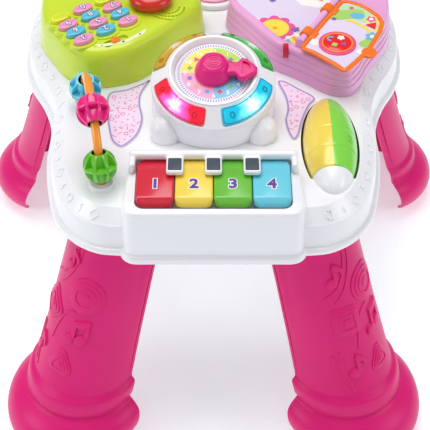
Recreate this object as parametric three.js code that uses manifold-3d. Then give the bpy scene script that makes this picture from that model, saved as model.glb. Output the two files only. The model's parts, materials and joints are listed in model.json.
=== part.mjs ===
// Musical activity table for babies, as an assembly of its separate pieces.
// Millimetres, +Z up. The origin is on the floor in the middle of the four feet.
// -Y is the front, where the piano keys are. The telephone is at the back left
// and the page-turning book at the back right.
import * as THREE from 'three';
import { mergeVertices } from 'three/addons/utils/BufferGeometryUtils.js';
import Module from 'manifold-3d';

const wasm = await Module();
wasm.setup();

// Clearances that every piece shares
const gap = 0.3;
const play = 0.8;
const overrun = 4;

// Tabletop
const deckHeight = 312;
const rimDepth = 48;
const rimHeight = deckHeight - rimDepth;
const rimThickness = 6;
const topHalfWidth = 219;
const topHalfDepth = 223;
const topMiddleBack = 29;
const topWall = 3.5;
const rimPointCount = 64;
const rimLipOut = 5;
const bandDepth = 14;
const bandFootHeight = deckHeight - bandDepth;
const bandFootInset = 7;
const bandTopInset = 20;
const bandTopDrop = 2;
const deckInset = 25;
// Right half of the rim, from the middle of the front round to the middle of the back
const rimShares = [
  [0, -1], [0.27, -1], [0.44, -0.995], [0.54, -0.98], [0.65, -0.915], [0.74, -0.795],
  [0.79, -0.623], [0.82, -0.395], [0.82, -0.152], [0.87, 0.013], [0.94, 0.148],
  [0.99, 0.3], [1, 0.534], [0.965, 0.7], [0.88, 0.843], [0.73, 0.937],
  [0.5, 0.978], [0.27, 0.987], [0, 1],
];

// Tray that closes the tabletop from below and holds the legs
const trayOverlap = 2;
const trayDepth = 28;
const trayTopHeight = rimHeight + trayOverlap;
const trayFloorHeight = trayTopHeight - trayDepth;
const trayInset = 22;
const trayTaper = 4;
const trayWall = 3;

// Legs, four alike, open towards the middle of the table
const legTopClear = 4;
const legTopHeight = trayTopHeight - legTopClear;
const legLeanShare = 0.355;
const legWall = 4;
const legHalfSpanDegrees = 108;
const legFrontSpreadShare = 0.4384;
const legRearSpreadShare = 0.6986;
const legDepthSpreadShare = 0.5942;
const legSocketRim = 6;
const legArcSteps = 12;
const legFootRadius = 79;
// Leg's section from the floor up: shares of the leg's height and of its foot's radius
const legStationShares = [
  [0, 0.785], [0.0305, 0.874], [0.0763, 0.962], [0.1221, 1], [0.1679, 0.978],
  [0.2023, 0.886], [0.2214, 0.778], [0.2405, 0.788], [0.3053, 0.785], [0.3206, 0.728],
  [0.5344, 0.684], [0.7634, 0.652], [1, 0.627],
];
const legStations = legStationShares.map(([heightShare, radiusShare]) => ({
  height: heightShare * legTopHeight,
  radius: radiusShare * legFootRadius,
}));

// Piano at the front edge
const key = {
  pitch: 38.4,
  side: 0.4,
  rise: 6,
  floorClear: 5,
  frontClear: 1.2,
  backClear: 1.3,
  bevelRun: 14,
  bevelDrop: 5,
  count: 4,
};
const piano = {
  rise: 18,
  bedRise: 4,
  sideWall: 7.8,
  flare: 6,
  ahead: 6,
  depth: 79,
  wall: 4,
  backWall: 5,
  bedFloor: 3,
  lipOut: 5,
  lipHeight: 7,
};
const keyBar = {
  sideCover: 3.8,
  clear: 1.5,
  height: 8.5,
  inset: 1,
  depth: 11,
  postClear: 0.5,
};
const sharp = {
  halfWidth: 6.5,
  depth: 16.5,
  barClear: 4,
  frame: 2.1,
  frontFrame: 2.5,
  tongueHeight: 6.5,
  proud: 1,
  thickness: 4,
  count: 3,
};
const recessHalfWidth = key.count * key.pitch / 2 + key.side;
const pianoFront = topHalfDepth - topMiddleBack + piano.ahead;
const pianoBack = pianoFront - piano.depth;
const pianoBackHalf = recessHalfWidth + piano.sideWall;
const recessBack = pianoBack + piano.backWall;
const pianoTop = deckHeight + piano.rise;
const pianoBed = deckHeight + piano.bedRise;
const keyTop = pianoTop + key.rise;
const keyBottom = pianoBed + key.floorClear;
const barBottom = keyTop + keyBar.clear;
const barTop = barBottom + keyBar.height;
const barHalfWidth = recessHalfWidth + keyBar.sideCover;
const barBack = pianoBack + keyBar.inset;
const barFront = barBack + keyBar.depth;
const sharpBack = barFront + sharp.barClear;
const sharpFront = sharpBack + sharp.depth;
const tongueTop = barBottom + sharp.tongueHeight;
const sharpTop = tongueTop + sharp.proud;

// Clock in the middle, on its own axis that leans to the front
const clock = {
  behindPiano: 102.5,
  leanDegrees: 12,
  skirtDepth: 18,
  footRadius: 65.5,
  footTop: 46.5,
  ringRadius: 46.5,
  ringFoot: 62.5,
  ringTop: 64,
  ringInnerRadius: 40.5,
  ringRound: 1.2,
  dialSeat: 56,
  hollow: 4,
  boreRadius: 4.5,
  segments: 36,
};
const clockMiddle = clock.behindPiano - pianoBack;
const knuckle = { side: 50, forward: 46.5, radius: 16, height: 26, segments: 16, steps: 5 };
const lamp = {
  slopeStart: 3.6,
  slopeEnd: 23.8,
  pocketDepth: 7,
  bottomClear: 1.6,
  topClear: 0.5,
  underside: 4,
  proud: 1,
  crown: 1.8,
  halfGapDegrees: 9,
  sideClearDegrees: 0.7,
  arcSteps: 7,
};
const dial = { radius: 39.5, thickness: 1.6 };
const hand = {
  hubRadius: 18,
  hubFoot: 58.2,
  hubTop: 69,
  knobRadius: 11,
  knobTop: 75,
  shaftRadius: 4,
  shaftFoot: 48,
  armThickness: 4,
  armHalfWidth: 7,
  headStart: 26,
  headHalfWidth: 15,
  tip: 45,
  segments: 20,
};

// Arched wire with three beads, at the front left
const arch = {
  rearAcrossShare: 0.6256,
  besidePiano: 28,
  aheadOfClock: 120.5,
  behindClock: 7.5,
  wireRadius: 4.5,
  sink: 6,
  sectionSides: 8,
  stops: 16,
  steps: 24,
};
const archRear = [-arch.rearAcrossShare * topHalfWidth, clockMiddle + arch.behindClock];
const archFront = [-pianoBackHalf - arch.besidePiano, clockMiddle - arch.aheadOfClock];
const archRadius = Math.hypot(archRear[0] - archFront[0], archRear[1] - archFront[1]) / 2;
const boss = { radius: 13, height: 5, segments: 20 };
const bead = {
  radius: 17.5,
  boreRadius: 7.3,
  segments: 16,
  profileSteps: 6,
  restDegrees: 16.5,
  middleDegrees: 67,
};

// Roller at the front right, an egg whose front end is a fixed white nose
const roller = {
  acrossShare: 0.5548,
  forwardShare: 0.3632,
  halfLength: 73,
  radius: 28.5,
  sink: 3,
  cutShare: 0.67,
  slotClear: 2,
  stubRadius: 2.5,
  stubLength: 5,
  bearingHalfWidth: 6,
  bearingDrop: 7,
  profileSteps: 8,
  segments: 20,
};
const rollerAcross = roller.acrossShare * topHalfWidth;
const rollerForward = roller.forwardShare * topHalfDepth;
const rollerAxis = deckHeight - roller.sink;

// Telephone, at the back left
const phone = {
  inner: 11,
  width: 187,
  behindClock: 31.5,
  depth: 217,
  shoulderRise: 34,
  rise: 46,
  shoulderInset: 3,
  topInset: 9,
  wall: 3.5,
  pointCount: 44,
};
const phoneShoulder = deckHeight + phone.shoulderRise;
const phoneTop = deckHeight + phone.rise;
const phoneShares = [
  [0, 0.525], [0.01, 0.43], [0.155, 0.263], [0.31, 0.115], [0.4, 0.05], [0.497, 0.018],
  [0.61, 0], [0.727, 0.023], [0.818, 0.092], [0.909, 0.212], [0.979, 0.332], [1, 0.447],
  [0.99, 0.63], [0.904, 0.816], [0.743, 0.963], [0.53, 1], [0.342, 0.954],
  [0.219, 0.816], [0.075, 0.64],
];
const keypad = {
  middleShares: [0.6417, 0.2719],
  turnDegrees: 36,
  columnPitch: 28.5,
  rowPitch: 15.8,
  keyHalfLength: 11.5,
  keyHalfWidth: 6.6,
  rise: 5,
  sink: 3,
  travel: 2.2,
  rows: 4,
  columns: 3,
  sides: 16,
};
const modeSwitch = {
  middleShares: [0.508, 0.1152],
  slotHalfLength: 14,
  slotHalfWidth: 4,
  slotDepth: 3,
  halfLength: 5,
  rise: 6,
};
const handset = {
  earShares: [0.3155, 0.4355],
  mouthShares: [0.4439, 0.8664],
  cupRadius: 25,
  cupHeight: 17,
  cupRound: 4,
  handleHalfWidth: 13,
  handleRise: 15,
  handleTop: 29,
  clear: 0.4,
  segments: 20,
  curveSteps: 10,
};
const keypadMiddle = inPod(phone, keypad.middleShares, -1);
const switchMiddle = inPod(phone, modeSwitch.middleShares, -1);
const ear = inPod(phone, handset.earShares, -1);
const mouth = inPod(phone, handset.mouthShares, -1);

// Book, at the back right
const book = {
  inner: 14,
  width: 189,
  behindClock: 17.5,
  depth: 229,
  rise: 36,
  stepCount: 3,
  stepIn: 1.3,
  stepLedge: 0.8,
  topInset: 6,
  wall: 3.5,
  pointCount: 44,
};
const bookTop = deckHeight + book.rise;
const bookShares = [
  [0, 0.555], [0.138, 0.362], [0.275, 0.205], [0.354, 0.16], [0.466, 0.092],
  [0.545, 0.035], [0.624, 0], [0.709, 0.004], [0.767, 0.066], [0.825, 0.166],
  [0.947, 0.341], [0.979, 0.428], [1, 0.616], [0.931, 0.812], [0.772, 0.943],
  [0.519, 1], [0.307, 0.943], [0.201, 0.812], [0.053, 0.668],
];
const spine = {
  footShares: [0.4286, 0.1921],
  turnDegrees: 59.8,
  length: 86,
  radius: 3,
  rise: 6.4,
  endBlock: 4,
  blockHalfWidth: 5,
  sides: 12,
};
const spineFoot = inPod(book, spine.footShares, 1);
const page = {
  width: 78,
  length: 112,
  lead: 17,
  thickness: 2.5,
  eyeLength: 12,
  eyeRadius: 5,
  eyeShares: [0.22, 0.76],
  sides: 14,
};
// Page outline: across from the spine, and along it from its front end
const pageShares = [
  [0.06, 0.1], [0.8, 0.01], [0.89, 0.1], [0.93, 0.3], [1, 0.42], [0.98, 0.56],
  [0.9, 0.76], [0.73, 0.92], [0.45, 1], [0.12, 0.98], [0.06, 0.9],
];
const bookmark = { across: -9.5, start: -6, halfWidth: 3, length: 11, thickness: 2 };

// Spinning disc at the back
const disc = {
  backShare: 0.8655,
  clear: 1,
  baseRadius: 38,
  baseHeight: 7,
  wellRadius: 31,
  wellFloor: 2,
  radius: 30,
  rise: 6,
  hubRadius: 12,
  hubRise: 10,
  pinRadius: 3,
  segments: 28,
};
const discBack = disc.backShare * topHalfDepth;

// Printed panels let into the deck between the clock and its neighbours
const panelThickness = 1;
const panelClear = 1;
const leftPanelShares = [
  [-0.315, 0.121], [-0.352, 0.013], [-0.356, -0.063], [-0.338, -0.175], [-0.356, -0.278],
  [-0.393, -0.341], [-0.438, -0.377], [-0.484, -0.341], [-0.511, -0.242], [-0.525, -0.13],
  [-0.53, -0.013], [-0.511, 0.027], [-0.434, 0.05], [-0.374, 0.086],
];
const rightPanelShares = [
  [0.32, 0.113], [0.35, 0.117], [0.42, 0.063], [0.507, -0.022], [0.479, -0.072],
  [0.44, -0.179], [0.411, -0.296], [0.388, -0.327], [0.37, -0.314], [0.343, -0.188],
  [0.356, -0.112], [0.352, -0.022],
];

// Electronics and batteries under the deck
const cell = { radius: 7.1, halfLength: 25.2, count: 3, pitch: 15.4, poleRadius: 2.6, pole: 1 };
const batteryBox = {
  halfWidth: 23.5,
  halfDepth: 27.5,
  wall: 2.5,
  height: 22,
  middleBack: 20,
  doorThickness: 2.5,
  doorLip: 12,
  lipThickness: 2,
};
const screw = { headRadius: 3.5, shankRadius: 1.6, headHeight: 2, length: 9, segments: 12, in: 5 };
const speaker = { radius: 24, height: 9, magnetRadius: 13, magnetHeight: 7, middleBack: 112 };
const board = { halfWidth: 52, halfDepth: 30, thickness: 1.6, middleBack: -50, postRadius: 4 };
const postHeight = 10;

const radians = Math.PI / 180;

// Material for one piece
function paint(color, roughness, metalness = 0) {
  return new THREE.MeshStandardMaterial({ color, roughness, metalness });
}

// Solid of a closed geometry
function solidOf(geometry) {
  const bare = geometry.clone();
  bare.deleteAttribute('normal');
  bare.deleteAttribute('uv');
  const merged = mergeVertices(bare);
  const corners = merged.index.array;
  const kept = [];
  for (let i = 0; i < corners.length; i += 3) {
    const [a, b, c] = [corners[i], corners[i + 1], corners[i + 2]];
    if (a !== b && b !== c && c !== a) {
      kept.push(a, b, c);
    }
  }
  const positions = merged.attributes.position.array;
  if (enclosed(positions, kept) < 0) {
    kept.reverse();
  }
  return new wasm.Manifold(new wasm.Mesh({
    numProp: 3,
    vertProperties: Float32Array.from(positions),
    triVerts: Uint32Array.from(kept),
  }));
}

// Six times the volume that triangles enclose, negative where they face inwards
function enclosed(positions, corners) {
  const [a, b, c] = [new THREE.Vector3(), new THREE.Vector3(), new THREE.Vector3()];
  let sum = 0;
  for (let i = 0; i < corners.length; i += 3) {
    a.fromArray(positions, 3 * corners[i]);
    b.fromArray(positions, 3 * corners[i + 1]);
    c.fromArray(positions, 3 * corners[i + 2]);
    sum += a.dot(b.cross(c));
  }
  return sum;
}

// Geometry of a solid
function geometryOf(solid) {
  const mesh = solid.getMesh();
  const stride = mesh.numProp;
  const positions = [];
  for (let i = 0; i < mesh.vertProperties.length; i += stride) {
    positions.push(
      mesh.vertProperties[i],
      mesh.vertProperties[i + 1],
      mesh.vertProperties[i + 2],
    );
  }
  const geometry = new THREE.BufferGeometry();
  geometry.setAttribute('position', new THREE.Float32BufferAttribute(positions, 3));
  geometry.setIndex(Array.from(mesh.triVerts));
  geometry.computeVertexNormals();
  return geometry;
}

// Named piece of a solid
function piece(name, solid, material) {
  const mesh = new THREE.Mesh(geometryOf(solid), material);
  mesh.name = name;
  return mesh;
}

// Box between two corners
function box(low, high) {
  const size = high.map((value, axis) => value - low[axis]);
  const geometry = new THREE.BoxGeometry(...size);
  geometry.translate(...low.map((value, axis) => value + size[axis] / 2));
  return solidOf(geometry);
}

// Body turned round the Z axis from a profile of radius and height, drawn upwards
function turned(profile, segments) {
  const geometry = new THREE.LatheGeometry(
    profile.map(([radius, height]) => new THREE.Vector2(radius, height)),
    segments,
  );
  geometry.rotateX(Math.PI / 2);
  return solidOf(geometry);
}

function cylinder(radius, low, high, segments, middle = [0, 0]) {
  const profile = [[0, low], [radius, low], [radius, high], [0, high]];
  return turned(profile, segments).translate([middle[0], middle[1], 0]);
}

// Plate of a flat outline between two heights
function plate(points, low, high) {
  const shape = new THREE.Shape(points.map(([x, y]) => new THREE.Vector2(x, y)));
  const geometry = new THREE.ExtrudeGeometry(shape, { depth: high - low, bevelEnabled: false });
  geometry.translate(0, 0, low);
  return solidOf(geometry);
}

// Solid through rings of as many points each, closed by the flat outline of its ends
function loft(rings, flatEnd) {
  const count = rings[0].length;
  const positions = rings.flat(2);
  const corners = [];
  for (let ring = 0; ring + 1 < rings.length; ring += 1) {
    for (let i = 0; i < count; i += 1) {
      const next = (i + 1) % count;
      const [a, b] = [ring * count + i, ring * count + next];
      corners.push(a, b, b + count, a, b + count, a + count);
    }
  }
  const outline = flatEnd.map(([x, y]) => new THREE.Vector2(x, y));
  const last = (rings.length - 1) * count;
  for (const [a, b, c] of THREE.ShapeUtils.triangulateShape(outline, [])) {
    corners.push(c, b, a, last + a, last + b, last + c);
  }
  const geometry = new THREE.BufferGeometry();
  geometry.setAttribute('position', new THREE.Float32BufferAttribute(positions, 3));
  geometry.setIndex(corners);
  return solidOf(geometry);
}

// Evenly spaced points of a smooth closed curve through the given ones
function smoothRound(points, count) {
  const through = points.map(([x, y]) => new THREE.Vector3(x, y, 0));
  const curve = new THREE.CatmullRomCurve3(through, true, 'centripetal');
  return curve.getSpacedPoints(count).slice(0, count).map(({ x, y }) => [x, y]);
}

// Outline moved inwards, for points that run anticlockwise
function inset(points, distance) {
  return points.map(([x, y], i) => {
    const [x0, y0] = points[(i + points.length - 1) % points.length];
    const [x1, y1] = points[(i + 1) % points.length];
    const length = Math.hypot(x1 - x0, y1 - y0);
    return [x - distance * (y1 - y0) / length, y + distance * (x1 - x0) / length];
  });
}

// Body whose outline steps inwards as it rises: each level is an inset and a height
function stepped(outline, levels) {
  const rings = levels.map(([distance, height]) =>
    inset(outline, distance).map(([x, y]) => [x, y, height]));
  return loft(rings, outline);
}

function signedArea(points) {
  return points.reduce((sum, [x, y], i) => {
    const [x1, y1] = points[(i + 1) % points.length];
    return sum + x * y1 - x1 * y;
  }, 0);
}

function anticlockwise(points) {
  return signedArea(points) < 0 ? [...points].reverse() : points;
}

// Part of a ring: a profile of radius and height swept round Z between two angles
function sector(profile, fromDegrees, toDegrees, steps) {
  const rings = [];
  for (let step = 0; step <= steps; step += 1) {
    const angle = (fromDegrees + (toDegrees - fromDegrees) * step / steps) * radians;
    rings.push(profile.map(([radius, height]) =>
      [radius * Math.cos(angle), radius * Math.sin(angle), height]));
  }
  return loft(rings, profile);
}

// Turns flat points and moves them
function placed(points, middle, turnDegrees) {
  const cos = Math.cos(turnDegrees * radians);
  const sin = Math.sin(turnDegrees * radians);
  return points.map(([x, y]) => [middle[0] + x * cos - y * sin, middle[1] + x * sin + y * cos]);
}

function oval(halfLength, halfWidth, sides) {
  const points = [];
  for (let i = 0; i < sides; i += 1) {
    const angle = 2 * Math.PI * i / sides;
    points.push([halfLength * Math.cos(angle), halfWidth * Math.sin(angle)]);
  }
  return points;
}

// Outline of the tabletop's rim
function rimOutline(count) {
  const right = rimShares.map(([across, along]) =>
    [across * topHalfWidth, topMiddleBack + along * topHalfDepth]);
  const left = right.slice(1, -1).reverse().map(([x, y]) => [-x, y]);
  return anticlockwise(smoothRound([...right, ...left], count));
}

// Room that the disc's base keeps free of the pods beside it
function besideDisc() {
  const top = Math.max(phoneTop, bookTop) + overrun;
  return cylinder(disc.baseRadius + disc.clear, deckHeight, top, disc.segments, [0, discBack]);
}

// Place on the deck, as shares of the tabletop's half width and half depth
function onTop([across, along]) {
  return [across * topHalfWidth, along * topHalfDepth];
}

// Place in a pod, as shares of its width and depth
function inPod(pod, [across, along], side) {
  const front = clockMiddle + pod.behindClock;
  return [side * (pod.inner + across * pod.width), front + along * pod.depth];
}

// Outline of a pod that stands on the deck, on side 1 (right) or -1 (left)
function podOutline(pod, shares, side) {
  const points = shares.map((pair) => inPod(pod, pair, side));
  return anticlockwise(smoothRound(points, pod.pointCount));
}

// Point on the bead wire: degrees from the front foot, up and over to the rear one
function archPoint(degrees) {
  const middle = archFront.map((value, axis) => (value + archRear[axis]) / 2);
  const across = archFront.map((value, axis) => (value - archRear[axis]) / 2);
  const length = Math.hypot(...across);
  const reach = archRadius * Math.cos(degrees * radians) / length;
  return new THREE.Vector3(
    middle[0] + across[0] * reach,
    middle[1] + across[1] * reach,
    deckHeight + boss.height + archRadius * Math.sin(degrees * radians),
  );
}

// Leg as it stands at the given corner, grown on all sides by the given amount
function legSolid(corner, grow = 0) {
  const span = legHalfSpanDegrees + (grow / legStations[0].radius) / radians;
  const section = (radius) => {
    const points = [];
    for (let i = 0; i <= legArcSteps; i += 1) {
      const angle = (2 * i / legArcSteps - 1) * span * radians;
      points.push([radius * Math.cos(angle), radius * Math.sin(angle)]);
    }
    return points;
  };
  const rings = legStations.map(({ height, radius }) => {
    const outer = section(radius + grow);
    const inner = section(radius - legWall - grow).reverse();
    const shift = (legTopHeight - height) * legLeanShare;
    const z = height === legTopHeight ? height + grow : height;
    return [...outer, ...inner].map(([x, y]) => [x + shift, y, z]);
  });
  const first = legStations[0].radius;
  const flatEnd = [...section(first), ...section(first - legWall).reverse()];
  return loft(rings, flatEnd)
    .rotate([0, 0, Math.atan2(corner.y, corner.x) / radians])
    .translate([corner.side, corner.back, 0]);
}

const legFrontHalfSpread = legFrontSpreadShare * topHalfWidth;
const legRearHalfSpread = legRearSpreadShare * topHalfWidth;
const legHalfDepthSpread = legDepthSpreadShare * topHalfDepth;
// The four corners: which way each leg faces and where its top is
const corners = [
  { name: 'front_left', x: -1, y: -1, side: -legFrontHalfSpread, back: -legHalfDepthSpread },
  { name: 'front_right', x: 1, y: -1, side: legFrontHalfSpread, back: -legHalfDepthSpread },
  { name: 'rear_left', x: -1, y: 1, side: -legRearHalfSpread, back: legHalfDepthSpread },
  { name: 'rear_right', x: 1, y: 1, side: legRearHalfSpread, back: legHalfDepthSpread },
];

// Egg shape of the roller and its nose, along Z before it is laid down
function rollerProfile(fromShare, toShare, grow) {
  const profile = [];
  for (let i = 0; i <= roller.profileSteps; i += 1) {
    const share = fromShare + (toShare - fromShare) * i / roller.profileSteps;
    const radius = (roller.radius + grow) * Math.sqrt(Math.max(0, 1 - share * share));
    profile.push([radius, share * (roller.halfLength + grow)]);
  }
  return profile;
}

// Lays a body turned round Z along the roller's axis, its top end to the front
function laidForward(solid) {
  return solid
    .rotate([90, 0, 0])
    .translate([rollerAcross, -rollerForward, rollerAxis]);
}

function rollerSolid() {
  const egg = rollerProfile(-1, roller.cutShare, 0);
  const cut = roller.cutShare * roller.halfLength;
  const body = turned([...egg, [0, cut]], roller.segments);
  const front = cylinder(roller.stubRadius, 0, cut + roller.stubLength, roller.segments);
  const rear = cylinder(
    roller.stubRadius,
    -roller.halfLength - roller.stubLength + gap,
    0,
    roller.segments,
  );
  return laidForward(body.add(front).add(rear));
}

// Fixed nose that goes on where the roller ends
function noseSolid() {
  const start = roller.cutShare * roller.halfLength + gap;
  const nose = turned(
    [[0, start], ...rollerProfile(roller.cutShare, 1, 0).map(([radius, height]) =>
      [radius, Math.max(height, start)])],
    roller.segments,
  );
  const above = box(
    [0, -topHalfDepth - overrun, deckHeight - topWall],
    [topHalfWidth, topHalfDepth, pianoTop + roller.radius],
  );
  return laidForward(nose).intersect(above);
}

function rollerSlot() {
  const egg = rollerProfile(-1, 1, roller.slotClear);
  const end = roller.cutShare * roller.halfLength + gap;
  const cutter = turned(egg, roller.segments);
  const keep = box(
    [-roller.radius - overrun, -roller.radius - overrun, -roller.halfLength - overrun],
    [roller.radius + overrun, roller.radius + overrun, end],
  );
  return laidForward(cutter.intersect(keep));
}

// Room that the roller's slot keeps free of the panel beside it
function besideRoller() {
  const egg = rollerProfile(-1, 1, roller.slotClear + panelClear);
  return laidForward(turned(egg, roller.segments));
}

// Bearing under the deck for the roller's rear stub
function rollerBearing() {
  const back = -rollerForward + roller.halfLength;
  const low = deckHeight - topWall - roller.bearingDrop;
  const block = box(
    [rollerAcross - roller.bearingHalfWidth, back + roller.slotClear, low],
    [rollerAcross + roller.bearingHalfWidth, back + roller.slotClear + roller.stubLength,
      deckHeight - gap],
  );
  return block;
}

// Bore that both stubs of the roller turn in
function stubBore() {
  const bore = cylinder(
    roller.stubRadius + gap,
    -roller.halfLength - roller.stubLength,
    roller.cutShare * roller.halfLength + roller.stubLength + gap,
    roller.segments,
  );
  return laidForward(bore);
}

// Raised block with the keys' bed, in plan
function pianoPlan(grow, back) {
  const backHalf = pianoBackHalf + grow;
  const frontHalf = backHalf + piano.flare;
  return [
    [-frontHalf, -pianoFront - grow],
    [frontHalf, -pianoFront - grow],
    [backHalf, -back],
    [-backHalf, -back],
  ];
}

function wireBosses(solid) {
  let joined = solid;
  for (const foot of [archRear, archFront]) {
    joined = joined.add(
      cylinder(boss.radius, deckHeight - topWall, deckHeight + boss.height, boss.segments, foot));
  }
  for (const foot of [archRear, archFront]) {
    joined = joined.subtract(cylinder(
      arch.wireRadius + gap,
      deckHeight - overrun,
      deckHeight + boss.height + overrun,
      boss.segments,
      foot,
    ));
  }
  return joined;
}

function topShell() {
  const rim = rimOutline(rimPointCount);
  const outer = stepped(rim, [
    [0, rimHeight],
    [0, rimHeight + rimThickness],
    [rimLipOut, rimHeight + rimThickness],
    [bandFootInset, bandFootHeight],
    [bandTopInset, deckHeight - bandTopDrop],
    [deckInset, deckHeight],
  ]);
  const inner = stepped(rim, [
    [bandFootInset + topWall, rimHeight - overrun],
    [bandFootInset + topWall, bandFootHeight - topWall],
    [bandTopInset + topWall, deckHeight - topWall],
  ]);
  const block = plate(pianoPlan(0, pianoBack), rimHeight, pianoTop);
  const lip = plate(pianoPlan(piano.lipOut, pianoBack), rimHeight, rimHeight + piano.lipHeight);
  const under = plate(
    pianoPlan(-piano.wall, pianoBack + piano.wall),
    rimHeight - overrun,
    pianoBed - piano.bedFloor,
  );
  const bed = box(
    [-recessHalfWidth, -pianoFront + piano.wall, pianoBed],
    [recessHalfWidth, -recessBack, pianoTop + overrun],
  );
  let shell = outer.add(block).add(lip).subtract(inner).subtract(under).subtract(bed);
  shell = shell.subtract(rollerSlot()).add(noseSolid()).add(rollerBearing());
  shell = shell.subtract(stubBore());
  return wireBosses(shell);
}

// Walls round the cells, and the posts that carry the board and the loudspeaker
function trayFittings() {
  const { halfWidth, halfDepth, wall, height, middleBack } = batteryBox;
  const low = trayFloorHeight;
  let fittings = box(
    [-halfWidth - wall, middleBack - halfDepth - wall, low],
    [halfWidth + wall, middleBack + halfDepth + wall, low + height],
  );
  for (const across of [-1, 1]) {
    for (const along of [-1, 1]) {
      fittings = fittings.add(cylinder(
        board.postRadius,
        low,
        low + trayWall + postHeight,
        screw.segments,
        [
          across * (board.halfWidth - board.postRadius),
          board.middleBack + along * (board.halfDepth - board.postRadius),
        ],
      ));
    }
  }
  return fittings;
}

function bottomCover() {
  const rim = rimOutline(rimPointCount);
  const outer = stepped(rim, [
    [trayInset + trayTaper, trayFloorHeight],
    [trayInset, trayTopHeight],
  ]);
  const inner = stepped(rim, [
    [trayInset + trayTaper + trayWall, trayFloorHeight + trayWall],
    [trayInset + trayWall, trayTopHeight + overrun],
  ]);
  const edge = bandFootInset + topWall + gap;
  const flange = stepped(rim, [[edge, legTopHeight + 2 * gap], [edge, trayTopHeight]]);
  let tray = outer.add(flange).subtract(inner).add(trayFittings());
  for (const corner of corners) {
    const radius = legStations[legStations.length - 1].radius + legSocketRim;
    const socket = cylinder(radius, trayFloorHeight, trayTopHeight, boss.segments, [
      corner.side,
      corner.back,
    ]);
    tray = tray.add(socket.intersect(outer));
  }
  for (const corner of corners) {
    tray = tray.subtract(legSolid(corner, gap));
  }
  const { halfWidth, halfDepth, height, middleBack, wall, doorLip, lipThickness } = batteryBox;
  const cellRoom = box(
    [-halfWidth, middleBack - halfDepth, trayFloorHeight - overrun],
    [halfWidth, middleBack + halfDepth, trayFloorHeight + height - wall],
  );
  const doorSeat = box(
    [-halfWidth, middleBack - halfDepth - doorLip, trayFloorHeight - overrun],
    [halfWidth, middleBack + halfDepth, trayFloorHeight + lipThickness],
  );
  const screwHole = cylinder(
    screw.shankRadius + gap,
    trayFloorHeight - overrun,
    trayFloorHeight + screw.length,
    screw.segments,
    screwPlace(),
  );
  const screwPost = cylinder(
    screw.headRadius + screw.shankRadius,
    trayFloorHeight + lipThickness,
    trayFloorHeight + screw.length + trayWall,
    screw.segments,
    screwPlace(),
  );
  return tray.subtract(cellRoom).add(screwPost).subtract(doorSeat).subtract(screwHole);
}

function screwPlace() {
  return [0, batteryBox.middleBack - batteryBox.halfDepth - batteryBox.doorLip + screw.in];
}

function batteryDoor() {
  const { halfWidth, halfDepth, middleBack, doorLip, lipThickness } = batteryBox;
  const low = trayFloorHeight + lipThickness - gap - batteryBox.doorThickness;
  const door = box(
    [-halfWidth + gap, middleBack - halfDepth - doorLip + gap, low],
    [halfWidth - gap, middleBack + halfDepth - gap, low + batteryBox.doorThickness],
  );
  const hole = cylinder(
    screw.shankRadius + gap,
    low - overrun,
    low + overrun,
    screw.segments,
    screwPlace(),
  );
  return door.subtract(hole);
}

function doorScrew() {
  const top = trayFloorHeight + batteryBox.lipThickness - gap - batteryBox.doorThickness - gap;
  const head = cylinder(screw.headRadius, top - screw.headHeight, top, screw.segments, screwPlace());
  const shank = cylinder(
    screw.shankRadius,
    top - screw.headHeight,
    top + screw.length,
    screw.segments,
    screwPlace(),
  );
  return head.add(shank);
}

function batteryCell(index) {
  const axisHeight = trayFloorHeight + batteryBox.lipThickness + cell.radius;
  const middle = (index - (cell.count - 1) / 2) * cell.pitch;
  const body = turned([
    [0, -cell.halfLength],
    [cell.radius, -cell.halfLength],
    [cell.radius, cell.halfLength],
    [cell.poleRadius, cell.halfLength],
    [cell.poleRadius, cell.halfLength + cell.pole],
    [0, cell.halfLength + cell.pole],
  ], screw.segments);
  const turn = index % 2 === 0 ? 90 : -90;
  return body.rotate([turn, 0, 0]).translate([middle, batteryBox.middleBack, axisHeight]);
}

function circuitBoard() {
  const low = trayFloorHeight + trayWall + postHeight + gap;
  return box(
    [-board.halfWidth, board.middleBack - board.halfDepth, low],
    [board.halfWidth, board.middleBack + board.halfDepth, low + board.thickness],
  );
}

function speakerSolid() {
  const low = trayFloorHeight + trayWall + gap;
  return turned([
    [0, low],
    [speaker.radius, low],
    [speaker.radius, low + speaker.height],
    [speaker.magnetRadius, low + speaker.height],
    [speaker.magnetRadius, low + speaker.height + speaker.magnetHeight],
    [0, low + speaker.height + speaker.magnetHeight],
  ], clock.segments).translate([0, speaker.middleBack, 0]);
}

// Point on the lamps' slope: so far up it from its foot, and so far out of it
function slopePoint(up, out) {
  const run = clock.footRadius - clock.ringRadius;
  const rise = clock.ringFoot - clock.footTop;
  const length = Math.hypot(run, rise);
  return [
    clock.footRadius - run / length * up + rise / length * out,
    clock.footTop + rise / length * up + run / length * out,
  ];
}

// Angles between which a lamp lies: one lamp to each quarter of the ring
function lampAngles(index, extra) {
  const quarter = 360 / corners.length;
  const middle = quarter * (index + 1 / 2);
  const half = quarter / 2 - lamp.halfGapDegrees - extra;
  return [middle - half, middle + half];
}

function lampPocket(index) {
  const profile = [
    slopePoint(lamp.slopeStart, -lamp.pocketDepth),
    slopePoint(lamp.slopeStart, lamp.pocketDepth + overrun),
    slopePoint(lamp.slopeEnd, lamp.pocketDepth + overrun),
    slopePoint(lamp.slopeEnd, -lamp.pocketDepth),
  ];
  return sector(profile, ...lampAngles(index, 0), lamp.arcSteps);
}

function lampSolid(index) {
  const [start, end] = [
    lamp.slopeStart + lamp.bottomClear,
    lamp.slopeEnd - lamp.topClear,
  ];
  const profile = [
    slopePoint(start, -lamp.underside),
    slopePoint(start, lamp.proud),
    slopePoint((start + end) / 2, lamp.crown),
    slopePoint(end, lamp.proud),
    slopePoint(end, -lamp.underside),
  ];
  return sector(profile, ...lampAngles(index, lamp.sideClearDegrees), lamp.arcSteps);
}

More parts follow.
